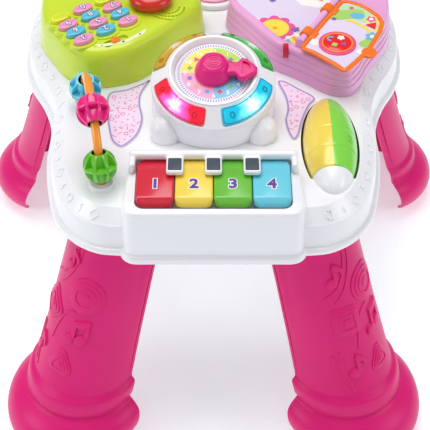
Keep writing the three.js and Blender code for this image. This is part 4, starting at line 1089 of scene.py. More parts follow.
quarter_inks = dial_inks(("leaf green", "#B4D84A"), ("straw yellow", "#F6E45E"),
                         ("rose pink", "#F5A2CC"), ("cloud blue", "#7CC0E6"))
pale_print = moulded("pale lilac dial print", "#EFE9F6", 0.4, drift=0.02, coat=0.1, grain=0.02)
plate_shape = turned([
    (PIN_BORE, DIAL_SEAT + GAP), (DIAL_RADIUS, DIAL_SEAT + GAP), (DIAL_RADIUS, dial_top),
    (PIN_BORE, dial_top), (PIN_BORE, DIAL_SEAT + GAP)], 96)
finish("clock_dial_plate", move(plate_shape, clock_frame), pale_print,
       stands_for=["clock_dial"])
PRINT_HEIGHT = 0.12


def dial_print(name, shapes, paint):
    """Lays printed shapes on the dial."""
    finish("clock_dial_" + name, move(joined(*shapes), clock_frame), paint)


for quarter, paint in enumerate(quarter_inks):
    sector = arc_band(DIAL_PRINT, DIAL_PRINT - PIN_PRINT, 90 * quarter, 90 * quarter + 90)
    dial_print("quarter_" + str(quarter + 1), [
        prism(sector, dial_top, dial_top + PRINT_HEIGHT)], paint)
TICKS = 84
ticks, hours = [], []
for tick in range(TICKS):
    bar = prism(TICK_WEDGE, dial_top, dial_top + PRINT_HEIGHT)
    ticks.append(move(bar, Matrix.Rotation(2 * math.pi * tick / TICKS, 4, "Z")))
for hour in range(1, 13):
    digits = text_mark(str(hour), HOUR_SIZE, dial_top, dial_top + 2 * PRINT_HEIGHT, 0.12)
    hours.append(move(digits, standing(*on_circle(HOUR_RADIUS, math.radians(90 - 30 * hour)))))
icon_inks = dial_inks(("moss green", "#7FB83A"), ("plum", "#8A6BB4"), ("tangerine", "#F5A63A"),
                      ("sea blue", "#4FA6D8"), ("cherry", "#E2486A"))
for kind, paint in enumerate(icon_inks):
    icons = []
    for icon in range(kind, 12, len(icon_inks)):
        corners = 3 + (kind + icon) % 4
        turns = [2 * math.pi * step / 36 for step in range(36)]
        outline = [on_circle(2.5 + 0.7 * math.cos(corners * turn), turn) for turn in turns]
        shape = prism(outline, dial_top, dial_top + 2 * PRINT_HEIGHT)
        icons.append(move(shape, standing(*on_circle(ICON_RADIUS, math.radians(15 + 30 * icon)))))
    dial_print("icons_" + str(kind + 1), icons, paint)
tick_ink = moulded("soft violet dial print", "#8480B4", 0.4, coat=0.0, grain=0.02)
dial_print("ticks", ticks, tick_ink)
dial_print("hours", hours, white_ink)

# %% [markdown]
# The hand is one thick moulding: a domed hub with fine rings on its top, and an arm that ends
# in a blunt arrowhead with a half-round hollow.

# %% The clock's hand
HAND_PIN = 4
HAND_PIN_FOOT = 48
HUB_RADIUS = 20
HUB_FOOT = 58.2
HUB_TOP = 77.8
ARM_FOOT = 64.6
ARM_TOP = 71
ARM_TURN = -6
HOLLOW_RADIUS = 9
HOLLOW_FLOOR = 68.4
HOLLOW_MIDDLE = (29.5, 0)
hub = turned(softened([
    (0, HAND_PIN_FOOT), (HAND_PIN, HAND_PIN_FOOT), (HAND_PIN, HUB_FOOT), (HUB_RADIUS, HUB_FOOT),
    (19, 65), (13.6, 75.6), (9, HUB_TOP - 0.4), (0, HUB_TOP)], 4.5, 6), 96)
arm_plan = rounded_corners([
    (0, -9.4), (16, -8.8), (23, -6.8), (28, -13.4), (33, -13.6), (45.5, -3), (45.5, 3),
    (33, 13.6), (28, 13.4), (23, 6.8), (16, 8.8), (0, 9.4)], 3, 6)
arm = stepped(placed(anticlockwise(arm_plan), (0, 0), ARM_TURN), [
    (0, ARM_FOOT, 0.6), (0, ARM_TOP, 2.4)])
hand = combined(hub, arm, "UNION")
half_round = [on_circle(HOLLOW_RADIUS, math.radians(-90 + 9 * step)) for step in range(21)]
hollow = placed(placed(half_round, HOLLOW_MIDDLE), (0, 0), ARM_TURN)
hand = combined(hand, prism(hollow, HOLLOW_FLOOR, ARM_TOP + 5), "DIFFERENCE")
moulding("clock_hand", move(hand, clock_frame), magenta_abs, moves=True)
rings = [ring_mark(radius, 0.9, 76.4, 78.3, 64) for radius in (2.6, 5.2, 7.8)]
finish("clock_hand_rings", move(joined(*rings), clock_frame), magenta_abs, "clock_hand")
print("clock done")

# %% [markdown]
# ## The piano
# Four wide keys are hinged at the back. Each has rounded corners, a front edge that slopes
# down, and a violet digit on a white halo. The white bar holds them, and three dark keys sit
# in frames that reach out from it.

# %% The keys
KEY_PITCH = 38.4
KEY_SIDE = 0.4
KEY_TOP = 336
KEY_BOTTOM = 327.4
KEY_FRONT = -187.9
KEY_BACK = -127.6
KEY_RIDGE = 7
KEY_BEVEL_DROP = 6.6
KEY_CORNER = 8
DIGIT_Y = -162.5
DIGIT_SIZE = 18
key_kinds = [("key_red", "cherry red", "#D8203A"), ("key_yellow", "warm yellow", "#F8DA52"),
             ("key_green", "leaf green", "#6ABF38"), ("key_blue", "light blue", "#6CD0E6")]


def key_shape(middle):
    """One wide key."""
    half = KEY_PITCH / 2 - KEY_SIDE
    corners = box(middle - half, KEY_FRONT, middle + half, KEY_BACK)
    bm = stepped(rounded_corners(corners, KEY_CORNER, 8), [(0, KEY_BOTTOM), (0, KEY_TOP, 2)])
    ridge = KEY_FRONT + KEY_RIDGE
    for share in (1, 0.86, 0.72, 0.58, 0.44, 0.3, 0.16):
        split(bm, (0, KEY_FRONT + KEY_RIDGE * share, 0), (0, 1, 0))
    for corner in bm.verts:
        past = (ridge - corner.co.y) / KEY_RIDGE
        if past > 0.001 and corner.co.z > KEY_BOTTOM + 1:
            corner.co.z -= KEY_BEVEL_DROP * past ** 1.5
    return bm


for number, (slot_name, words, colour) in enumerate(key_kinds):
    body = "piano_key_" + str(number + 1)
    middle = (number - 1.5) * KEY_PITCH
    paint = moulded(words + " moulded ABS", colour, 0.22, drift=0.03, coat=0.4)
    moulding(body, key_shape(middle), paint, 30, moves=True)
    place = standing(middle, DIGIT_Y)
    # Part of the digit, its foot and its head over the key, its swell and its paint
    for part, low, high, swell, paint in (
            ("_halo", 0, 0.12, 1.6, white_ink), ("_digit", 0.05, 0.3, 0.7, violet_ink)):
        digit = text_mark(str(number + 1), DIGIT_SIZE, KEY_TOP + low, KEY_TOP + high, swell)
        finish(body + part, move(digit, place), paint, body)

# %% The bar and the dark keys
BAR_HALF = 84.5
BAR_FRONT = -130.5
BAR_BACK = -122
BAR_BOTTOM = 338
BAR_TOP = 346
POST_FRONT = -125.5
TONGUE_HALF = 8.6
TONGUE_FRONT = -154
TONGUE_TOP = 344
SHARP_HALF = 6.5
SHARP_FRONT = -151.4
SHARP_BACK = -134.6
SHARP_TOP = 345
SHARP_BOTTOM = 341


def block_shape(low, high, rounding, top_round):
    """An upright block with rounded corners and a rounded top edge."""
    corners = box(*low[:2], *high[:2])
    return stepped(rounded_corners(corners, rounding, 5), [(0, low[2]), (0, high[2], top_round)])


bar = block_shape((-BAR_HALF, BAR_FRONT, BAR_BOTTOM), (BAR_HALF, BAR_BACK, BAR_TOP), 4, 3.4)
post = block_shape((-BAR_HALF, POST_FRONT, BLOCK_TOP + GAP), (BAR_HALF, BAR_BACK, 342), 0.8, 0)
bar = combined(bar, post, "UNION")
for side in (-1, 1):
    ends = sorted((side * 78, side * BAR_HALF))
    cheek = block_shape((ends[0], -143, BLOCK_TOP + GAP), (ends[1], BAR_BACK - 1, 343), 2.6, 2.4)
    bar = combined(bar, cheek, "UNION")
for number in range(3):
    middle = (number - 1) * KEY_PITCH
    tongue = block_shape((middle - TONGUE_HALF, TONGUE_FRONT, BAR_BOTTOM + 0.6),
                         (middle + TONGUE_HALF, BAR_FRONT + 4, TONGUE_TOP), 2.8, 1.6)
    bar = combined(bar, tongue, "UNION")
bar = blended(bar, 1.0, 5)
for number in range(3):
    middle = (number - 1) * KEY_PITCH
    window = block_shape((middle - SHARP_HALF - GAP, SHARP_FRONT - GAP, BAR_BOTTOM - 3),
                         (middle + SHARP_HALF + GAP, SHARP_BACK + GAP, BAR_TOP + 3), 1.4, 0)
    bar = combined(bar, window, "DIFFERENCE")
    dark = block_shape((middle - SHARP_HALF, SHARP_FRONT, SHARP_BOTTOM),
                       (middle + SHARP_HALF, SHARP_BACK, SHARP_TOP), 1.2, 0.9)
    moulding("sharp_key_" + str(number + 1), dark, slate_abs, 30, moves=True)
moulding("key_bar", bar, white_abs, sharp=30)
print("piano done")

# %% [markdown]
# ## The bead wire
# A thick orange wire arches over from one boss to the other, a true half circle. Each bead is
# moulded like a little cage: a core round the bore, eight meridian ribs, a ring round the
# middle and a collar at each end.

# %% The wire
ARCH_MIDDLE = (WIRE_REAR + WIRE_FRONT) / 2
ARCH_RADIUS = (WIRE_FRONT - WIRE_REAR).length / 2
WIRE_SUNK = BOSS_TOP - SOCKET_FLOOR
arch_along = (WIRE_FRONT - WIRE_REAR).normalized()
arch_axis = Vector((0, 0, 1)).cross(arch_along)
wire = bmesh.new()
circle = bmesh.ops.create_circle(wire, cap_ends=False, segments=32, radius=WIRE_RADIUS)["verts"]
bmesh.ops.translate(wire, verts=circle, vec=WIRE_FRONT - Vector((0, 0, WIRE_SUNK)))
straight = bmesh.ops.extrude_edge_only(wire, edges=wire.edges[:])["geom"]
corners = picked(straight, bmesh.types.BMVert)
bmesh.ops.translate(wire, verts=corners, vec=(0, 0, WIRE_SUNK))
edges = [edge for edge in picked(straight, bmesh.types.BMEdge) if edge.is_boundary]
spun = bmesh.ops.spin(
    wire, geom=corners + edges, angle=math.pi, steps=72, axis=-arch_axis, cent=ARCH_MIDDLE)
edges = picked(spun["geom_last"], bmesh.types.BMEdge)
end = bmesh.ops.extrude_edge_only(wire, edges=edges)["geom"]
bmesh.ops.translate(wire, verts=picked(end, bmesh.types.BMVert), vec=(0, 0, -WIRE_SUNK))
bmesh.ops.remove_doubles(wire, verts=wire.verts, dist=0.01)
close_holes(wire)
bmesh.ops.recalc_face_normals(wire, faces=wire.faces)
finish("bead_wire_sleeve", wire, wire_abs, stands_for=["bead_wire"])

# %% The beads
BEAD_RADIUS = 17.5
BEAD_BORE = 7.3
BEAD_CORE = 10.8
BEAD_RIBS = 8
BEAD_RIB_WIDTH = 2.6
BEAD_REST = 16.5
BEAD_MIDDLE = 67


def bead_shape():
    """A ribbed bead with its bore along Z."""
    end = math.sqrt(BEAD_RADIUS ** 2 - (BEAD_BORE + 1.8) ** 2)
    core = turned([
        (BEAD_BORE, -end), (BEAD_BORE + 1.9, -end), (BEAD_CORE, -end * 0.62), (BEAD_CORE, -2.0),
        (BEAD_RADIUS - 0.5, -1.6), (BEAD_RADIUS, 0), (BEAD_RADIUS - 0.5, 1.6), (BEAD_CORE, 2.0),
        (BEAD_CORE, end * 0.62), (BEAD_BORE + 1.9, end), (BEAD_BORE, end),
        (BEAD_BORE, -end)], 64)
    half = BEAD_RIB_WIDTH / 2
    steps = 16
    start = math.asin(end / BEAD_RADIUS)
    arc = [on_circle(BEAD_RADIUS, -start + 2 * start * step / steps) for step in range(steps + 1)]
    plan = arc + [(BEAD_BORE + 0.8, end - 0.4), (BEAD_BORE + 0.8, -end + 0.4)]
    for rib in range(BEAD_RIBS):
        slab = stepped(anticlockwise(plan), [(0, -half, 0.5), (0, half, 0.5)])
        stand = Matrix.Rotation(2 * math.pi * rib / BEAD_RIBS, 4, "Z") @ Matrix.Rotation(
            math.pi / 2, 4, "X")
        core = combined(core, move(slab, stand), "UNION")
    return core


bead_source = as_object(bead_shape(), "bead pattern")
# The bore is the bead's own plastic; its dark colour is painted shade
bore_shade = moulded("painted shade in the bore of a bead", "#20343C", 0.6, coat=0.0)
bead_kinds = [
    ("bead_green", "apple green", "#68C428", BEAD_REST),
    ("bead_pink", "hot pink", "#EF2288", BEAD_MIDDLE),
    ("bead_blue", "pool blue", "#52C4E0", 180 - BEAD_REST)]
for body, words, colour, degrees in bead_kinds:
    bm = bmesh.new()
    bm.from_mesh(bead_source.data)
    turn = math.radians(degrees)
    outwards = arch_along * math.cos(turn) + Vector((0, 0, 1)) * math.sin(turn)
    along = Vector((0, 0, 1)) * math.cos(turn) - arch_along * math.sin(turn)
    side = outwards.cross(along)
    stand = Matrix((side, outwards, along)).transposed().to_4x4()
    # Faces inside the bore take the second material: painted shade in the bore
    for face in bm.faces:
        inside = max(corner.co.xy.length for corner in face.verts) < BEAD_BORE + 0.1
        face.material_index = 1 if inside else 0
    move(bm, Matrix.Translation(ARCH_MIDDLE + outwards * ARCH_RADIUS) @ stand
         @ Matrix.Rotation(math.pi / BEAD_RIBS, 4, "Z"))
    bmesh.ops.recalc_face_normals(bm, faces=bm.faces)
    paint = moulded(words + " moulded ABS", colour, 0.2, drift=0.03, coat=0.5)
    moulding(body, bm, [paint, bore_shade], 30, moves=True)
discard(bead_source)
print("beads:", len(bead_kinds))

# %% [markdown]
# ## The roller
# A glossy egg on its side, one half yellow and the other green, with two shallow grooves and a
# small raised ring with a dot. The colours meet along a straight line, so the egg is cut there
# and each half gets its own plastic.

# %% The roller
# Places and width of the grooves, as shares of the half length
GROOVES = (-0.06, 0.32)
GROOVE_WIDTH = 0.012
GROOVE_DEPTH = 0.7
PIVOT_RADIUS = 2.5
PIVOT_LENGTH = 4.5
roller_profile = []
for radius, height in egg(-1, ROLLER_CUT, steps=120):
    past = [(height / ROLLER_HALF - groove) / GROOVE_WIDTH for groove in GROOVES]
    depth = sum(GROOVE_DEPTH * math.exp(-share ** 2) for share in past)
    roller_profile.append((max(0.0, radius - depth), height))
front_radius = roller_profile[-1][0]
roller_profile[-1:] = [(front_radius - 0.2, cut_at - 0.5), (front_radius - 1.0, cut_at)]
pivot = [(PIVOT_RADIUS, cut_at), (PIVOT_RADIUS, cut_at + PIVOT_LENGTH), (0, cut_at + PIVOT_LENGTH)]
roller_shape = turned(roller_profile + pivot, 96)
split(roller_shape, (0, 0, 0), (1, 0, 0))
for face in roller_shape.faces:
    face.material_index = 0 if face.calc_center_median().x < 0 else 1
roller_yellow = moulded("roller yellow moulded ABS", "#F4D955", 0.22, drift=0.03, coat=0.5)
roller_green = moulded("roller green moulded ABS", "#84DC48", 0.22, drift=0.03, coat=0.5)
roller_paints = [roller_yellow, roller_green]
moulding("roller", on_roller_axis(roller_shape), roller_paints, moves=True)


def on_roller(turn_degrees, share):
    """Mapping of a flat mark to the roller, at a turn round it and a share of its length."""
    def mapping(point):
        height = share * ROLLER_HALF - point.y
        radius = ROLLER_RADIUS * math.sqrt(max(0.02, 1 - (height / ROLLER_HALF) ** 2))
        turn = math.radians(turn_degrees) - point.x / radius
        out = radius + point.z
        return Vector((
            ROLLER_X + out * math.cos(turn), ROLLER_Y - height, ROLLER_Z + out * math.sin(turn)))
    return mapping


RING_TURN = 50
RING_SHARE = 0.13
ring_and_dot = joined(ring_mark(4.2, 1.2, -0.5, 0.7), prism(oval(1.3, 1.3, 16), -0.5, 0.7))
finish("roller_marks", wrapped(ring_and_dot, on_roller(RING_TURN, RING_SHARE)), roller_green,
       "roller")
print("roller done")

# %% [markdown]
# ## The telephone
# The base is a lime moulding with a soft shoulder. Its keys stand on a low plateau whose edge
# follows the ovals, each in a well of its own. The keypad faces the back left corner, so the
# digits are upside down for the camera.

# %% The telephone's base
PHONE_TOP = 358
PHONE_SHOULDER = 346
POD_CORNERS = 200
phone_shares = [
    (0, 0.525), (0.01, 0.43), (0.155, 0.263), (0.31, 0.115), (0.4, 0.05), (0.497, 0.018),
    (0.61, 0), (0.727, 0.023), (0.818, 0.092), (0.909, 0.212), (0.979, 0.332), (1, 0.447),
    (0.99, 0.63), (0.904, 0.816), (0.743, 0.963), (0.53, 1), (0.342, 0.954),
    (0.219, 0.816), (0.075, 0.64)]
PHONE_NEAR = (-11, 13)
PHONE_SIZE = (-187, 217)


def pod_plan(shares, near, size):
    """A pod's outline from shares of its width and depth."""
    points = [(near[0] + x * size[0], near[1] + y * size[1]) for x, y in shares]
    return anticlockwise(even_curve(points, POD_CORNERS))


phone_plan = pod_plan(phone_shares, PHONE_NEAR, PHONE_SIZE)
KEYPAD_MIDDLE = (-131, 72)
KEYPAD_TURN = 36
COLUMN_PITCH = 28.5
ROW_PITCH = 15.8
PHONE_KEY_LENGTH = 11.5
PHONE_KEY_WIDTH = 6.6
WELL_DEPTH = 5.5
PLATEAU = 1.1
PLATEAU_GROW = 4.6


def keypad_point(row, column):
    """Middle of a telephone key."""
    across = (column - 1) * COLUMN_PITCH
    along = (row - 1.5) * ROW_PITCH
    return placed([(across, along)], KEYPAD_MIDDLE, KEYPAD_TURN)[0]


def key_oval(row, column, grow):
    """Outline of a telephone key, grown."""
    shape = oval(PHONE_KEY_LENGTH + grow, PHONE_KEY_WIDTH + grow, 48)
    return placed(shape, keypad_point(row, column), KEYPAD_TURN)


def pill(half_length, half_width, middle, turn_degrees):
    """A slot with round ends."""
    corners = rounded_corners(centred_box(half_length, half_width), half_width - 0.05, 8)
    return placed(corners, middle, turn_degrees)


base = stepped(phone_plan, [
    (0.3, DECK + GAP), (0, DECK + 1.2, 0.5), (2.4, PHONE_SHOULDER - 8), (3.4, PHONE_SHOULDER),
    (4.6, 350.5), (6.8, 354.4), (9.8, 357), (13.5, PHONE_TOP)])
key_places = [(row, column) for row in range(4) for column in range(3)]
plateau = None
for row, column in key_places:
    pad = prism(key_oval(row, column, PLATEAU_GROW), PHONE_TOP - 3, PHONE_TOP + PLATEAU)
    plateau = combined(plateau, pad, "UNION") if plateau else pad
base = combined(base, plateau, "UNION")
SWITCH_MIDDLE = (-106, 38)
holes = [
    prism(key_oval(row, column, 0.4), PHONE_TOP - WELL_DEPTH, PHONE_TOP + 4)
    for row, column in key_places]
holes.append(prism(pill(15.4, 4.8, SWITCH_MIDDLE, KEYPAD_TURN), PHONE_TOP - 3, PHONE_TOP + 4))
SPEAKER_MIDDLE = Vector((-50, 100))
# Radius of each bow of slits and how many it has, where a bow starts and how far it reaches
SLIT_BOWS = ((12, 7), (17.5, 10), (23, 13))
SLITS_FROM = -128
SLITS_SWEEP = 122
for radius, count in SLIT_BOWS:
    for hole in range(count):
        turn = math.radians(SLITS_FROM + SLITS_SWEEP * hole / (count - 1))
        middle = SPEAKER_MIDDLE + on_circle(radius, turn)
        slit = pill(1.9, 1.0, middle, math.degrees(turn) + 90)
        holes.append(prism(slit, PHONE_TOP - 2.5, PHONE_TOP + 2))
base = combined(base, joined(*holes), "DIFFERENCE")
moulding("phone_base", base, lime_abs)

# %% The label beside the switch
LABEL_MIDDLE = Vector((-92, 27))
LABEL_CORNERS = 27
LABEL_OUTER = 14.4
LABEL_INNER = 19.0
label_low = PHONE_TOP + 0.02
near_switch = sorted(
    range(POD_CORNERS), key=lambda at: (phone_plan[at] - LABEL_MIDDLE).length)[:LABEL_CORNERS]
first, last = min(near_switch), max(near_switch)
outer_edge = inset(phone_plan, LABEL_OUTER)[first:last + 1]
inner_edge = inset(phone_plan, LABEL_INNER)[first:last + 1]
label = outer_edge[2:-2] + inner_edge[::-1]
label_ink = moulded("pale lime label", "#EEF3C4", 0.4, coat=0.1, grain=0.02)
finish("phone_label", prism(label, label_low, label_low + 0.12), label_ink)
marks = []
middle_line = inset(phone_plan, (LABEL_OUTER + LABEL_INNER) / 2)
for share, shape in ((0.14, 3), (0.5, 24), (0.86, 4)):
    spot = middle_line[round(first + (last - first) * share)]
    marks.append(prism(placed(polygon(shape, 1.4, 90, 0.2), spot), label_low, label_low + 0.24))
finish("phone_label_marks", joined(*marks), violet_ink)

# %% The telephone's keys
PHONE_KEY_FOOT = 355
PHONE_KEY_TOP = 364.2
PHONE_DIGIT_SIZE = 10.6
phone_digits = [["3", "2", "1"], ["6", "5", "4"], ["9", "8", "7"], ["", "0", ""]]
for row, column in key_places:
    body = "phone_key_" + str(row + 1) + "_" + str(column + 1)
    digit = phone_digits[row][column]
    outline = key_oval(row, column, 0)
    cap = stepped(outline, [
        (0, PHONE_KEY_FOOT), (0, PHONE_KEY_TOP - 0.7, 0.4), (0.8, PHONE_KEY_TOP, 0.5),
        (4.4, PHONE_KEY_TOP + 0.1)])
    if not digit:
        moulding(body, cap, lemon_abs, 50, moves=True)
        ribs = []
        for rib in range(-4, 5):
            reach = 4.4 * math.sqrt(1 - (rib / 5.2) ** 2)
            bar = prism(centred_box(0.45, reach), PHONE_KEY_TOP - 0.4, PHONE_KEY_TOP + 0.9, 0.3)
            ribs.append(move(bar, standing(rib * 2.0, 0)))
        stand = standing(*keypad_point(row, column), turn_degrees=KEYPAD_TURN)
        finish(body + "_ribs", move(joined(*ribs), stand), lemon_abs, body)
        continue
    pink = (row + column) % 2 == 0
    slot_name = "phone_pink" if pink else "phone_blue"
    moulding(body, cap, candy_abs if pink else sky_abs, 50, moves=True)
    stand = standing(*keypad_point(row, column), turn_degrees=KEYPAD_TURN + 180)
    low = PHONE_KEY_TOP + 0.1
    # Part of the digit, its foot and its head over the key, its swell and its paint
    for part, foot, head, swell, paint in (
            ("_outline", 0, 0.3, 0.75, violet_ink), ("_digit", 0.2, 0.45, 0.05, white_ink)):
        mark = text_mark(digit, PHONE_DIGIT_SIZE, low + foot, low + head, swell)
        finish(body + part, move(mark, stand), paint, body)

# %% The mode switch
KNOB_FOOT = 355.3
KNOB_TOP = 361.6
GRIP_HALF_LENGTH = 2.4
knob_plan = placed(rounded_corners(centred_box(5, 3.6), 2, 6), SWITCH_MIDDLE, KEYPAD_TURN)
knob = stepped(knob_plan, [(0, KNOB_FOOT), (0, KNOB_TOP - 1.2, 0.8), (1.3, KNOB_TOP, 0.6)])
finish("mode_switch_knob", knob, orange_abs, "mode_switch", ["mode_switch"])
grips = [
    prism(box(grip - 0.4, -GRIP_HALF_LENGTH, grip + 0.4, GRIP_HALF_LENGTH), KNOB_TOP - 0.4,
          KNOB_TOP + 0.5, 0.2)
    for grip in (-2, 0, 2)]
stand = standing(*SWITCH_MIDDLE, turn_degrees=KEYPAD_TURN)
finish("mode_switch_grips", move(joined(*grips), stand), orange_abs, "mode_switch")
print("telephone keys:", len(key_places))

# %% [markdown]
# The handset is two round cups and an arched handle. The three are joined, and the joints are
# then smoothed over as in a blow moulding.

# %% The handset
EAR = Vector((-70, 107.5))
MOUTH = Vector((-94, 201))
CUP_RADIUS = 25
CUP_FOOT = PHONE_TOP + 0.4
CUP_HEIGHT = 17
HANDLE_HALF_WIDTH = 13.5
HANDLE_PAST = 14


def handle_rings():
    """Sections of the arched handle, from one cup to the other."""
    span = (MOUTH - EAR).length
    along = (MOUTH - EAR) / span
    side = Vector((-along.y, along.x))
    rings = []
    for step in range(33):
        share = step / 32
        reach = -HANDLE_PAST + (span + 2 * HANDLE_PAST) * share
        bow = max(0.0, math.sin(math.pi * share))
        low = CUP_FOOT + 4 + 9.5 * bow
        high = CUP_FOOT + CUP_HEIGHT + 0.5 + 11.5 * bow
        half = HANDLE_HALF_WIDTH + 3 * (1 - bow)
        plan = rounded_corners(box(-half, low, half, high), 5.2, 6)
        rings.append([
            Vector((*(EAR + along * reach + side * p.x), p.y)) for p in plan])
    return rings


cup_profile = softened([
    (0, CUP_FOOT), (CUP_RADIUS - 4, CUP_FOOT), (CUP_RADIUS, CUP_FOOT + 7),
    (CUP_RADIUS, CUP_FOOT + 12), (CUP_RADIUS - 5, CUP_FOOT + CUP_HEIGHT),
    (0, CUP_FOOT + CUP_HEIGHT + 1.5)], 5)
handset = turned(cup_profile, 96, middle=(*EAR, 0))
handset = combined(handset, turned(cup_profile, 96, middle=(*MOUTH, 0)), "UNION")
handle = climb(bmesh.new(), handle_rings())
bmesh.ops.recalc_face_normals(handle, faces=handle.faces)
handset = blended(combined(handset, handle, "UNION"), 1.1, 6)
moulding("handset", handset, scarlet_abs, 60, moves=True)
print("handset done")

# %% [markdown]
# ## The book
# A thick lilac base whose sides are ribbed like the edges of pages. Its left page is a printed
# sheet. The right page turns: an orange frame with two rings round the lilac spine rod. The
# pictures are simple shapes of our own, each a thin prism of one ink.

# %% The book's base
BOOK_TOP = 348
BOOK_NEAR = (14, -1)
BOOK_SIZE = (189, 229)
book_shares = [
    (0, 0.555), (0.138, 0.362), (0.275, 0.205), (0.354, 0.16), (0.466, 0.092),
    (0.545, 0.035), (0.624, 0), (0.709, 0.004), (0.767, 0.066), (0.825, 0.166),
    (0.947, 0.341), (0.979, 0.428), (1, 0.616), (0.931, 0.812), (0.772, 0.943),
    (0.519, 1), (0.307, 0.943), (0.201, 0.812), (0.053, 0.668)]
book_plan = pod_plan(book_shares, BOOK_NEAR, BOOK_SIZE)
levels = [(0.3, DECK + GAP), (0, DECK + 1.2, 0.5), (0.8, 323.4, 0.5)]
RIDGE_FOOT = 324.4
RIDGE_PITCH = 7.9
for ridge in range(3):
    foot = RIDGE_FOOT + RIDGE_PITCH * ridge
    edge = 1.4 + 1.2 * ridge
    levels += [(edge + 0.9, foot, 0.4), (edge, foot + 1.2, 0.8), (edge + 0.2, foot + 5.6, 1.4)]
levels += [(6.4, BOOK_TOP - 0.1, 0.8), (10, BOOK_TOP)]
book_base = stepped(book_plan, levels)
SPINE_FOOT = Vector((95, 43))
SPINE_TURN = 59.8
SPINE_LENGTH = 86
SPINE_RISE = 6.4
SPINE_RADIUS = 4
SPINE_BLOCK = 4
SPINE_BLOCK_HALF = 5
spine_height = BOOK_TOP + SPINE_RISE


def book_place(points):
    """Flat points of the book's own frame: across from the spine, and along it."""
    return placed([(along, -across) for across, along in points], SPINE_FOOT, SPINE_TURN)


for low in (-SPINE_BLOCK, SPINE_LENGTH):
    corners = book_place(box(-SPINE_BLOCK_HALF, low, SPINE_BLOCK_HALF, low + SPINE_BLOCK))
    block = stepped(rounded_corners(corners, 1, 4), [
        (0, BOOK_TOP - 3), (0, spine_height + 4.8, 1.2)])
    book_base = combined(book_base, block, "UNION")
moulding("book_base", book_base, lilac_abs)

# %% The spine rod and the bookmark
rod = turned([
    (0, -2), (SPINE_RADIUS, -2), (SPINE_RADIUS, SPINE_LENGTH + 2), (0, SPINE_LENGTH + 2)], 40)
spine_frame = standing(*SPINE_FOOT, spine_height, SPINE_TURN) @ Matrix.Rotation(
    math.pi / 2, 4, "Y")
deep_lilac = moulded("deeper lilac moulded ABS", "#EEB4E6", 0.26)
moulding("spine_rod", move(rod, spine_frame), deep_lilac)
ribbon_red = moulded("bright red moulded ABS", "#E0203A", 0.3)
# Section of the bookmark, as depth and height: flat on the top, then down over the edge
tab_section = rounded_corners([
    (44.5, 350.3), (43, 350), (40.2, 347.5), (37.6, 341), (36.6, 335.6), (38.8, 335.2),
    (40, 341.4), (42.4, 346.6), (44.5, 348.3)], 0.6, 4)
upright = Matrix(((0, 0, 1, 75.8), (1, 0, 0, 0), (0, 1, 0, 0), (0, 0, 0, 1)))
moulding("bookmark_tab", move(prism(tab_section, 0, 6, 0.6), upright), ribbon_red)

# %% [markdown]
# The inks of the printed sheets, and one function that lays a shape of ink on a sheet. Later
# shapes lie a hair above earlier ones, so they cover them cleanly.

# %% Inks and printed shapes
def ink(name, colour):
    """A printing ink, with a faint grain."""
    return moulded(name + " offset ink", colour, 0.38, drift=0.03, coat=0.15, grain=0.02)


inks = {
    "lavender": ink("lavender", "#E6D9F2"), "cream": ink("cream white", "#FBF7F4"),
    "sun": ink("warm yellow", "#F8E04A"), "rose": ink("rose", "#F2569A"),
    "cherry": ink("cherry", "#E8203C"), "leaf": ink("leaf", "#A9D66A"),
    "mint": ink("mint", "#BFE6B4"), "water": ink("water blue", "#6CBCE4"),
    "amber": ink("amber", "#FF9A2E"), "plum": ink("plum", "#8C62B4"),
    "sand": ink("sand", "#FBE08C")}
INK_STEP = 0.06


def petals(count, inner, outer):
    """Outline of a flower."""
    points = []
    for corner in range(96):
        turn = 2 * math.pi * corner / 96
        reach = inner + (outer - inner) * abs(math.cos(count * turn / 2)) ** 0.7
        points.append(on_circle(reach, turn))
    return points


def blob(half_length, half_width, lobes):
    """Outline of a soft cloud: an oval with puffs."""
    plain = oval(half_length, half_width, 64)
    return [
        point * (1 + 0.16 * abs(math.sin(lobes * math.pi * corner / 64)))
        for corner, point in enumerate(plain)]


def in_book(points, middle, turn_degrees=0.0):
    """A drawing's outline, placed by its middle in the book's frame."""
    return book_place(placed(points, middle, turn_degrees))


def print_sheet(name, region, base_height, drawing, body):
    """Lays inks on a sheet, each cut to the region. An ink without shapes fills the sheet."""
    for layer, (ink_name, shapes) in enumerate(drawing):
        low = base_height + INK_STEP * layer
        outlines = [in_book(*shape) for shape in shapes] or [region]
        shapes = [prism(outline, low, low + INK_STEP * 1.5) for outline in outlines]
        edge = prism(region, base_height - 1, base_height + 3)
        cut = combined(joined(*shapes), edge, "INTERSECT")
        if len(cut.faces):
            finish(name + "_" + str(layer + 1) + "_" + ink_name, cut, inks[ink_name], body)


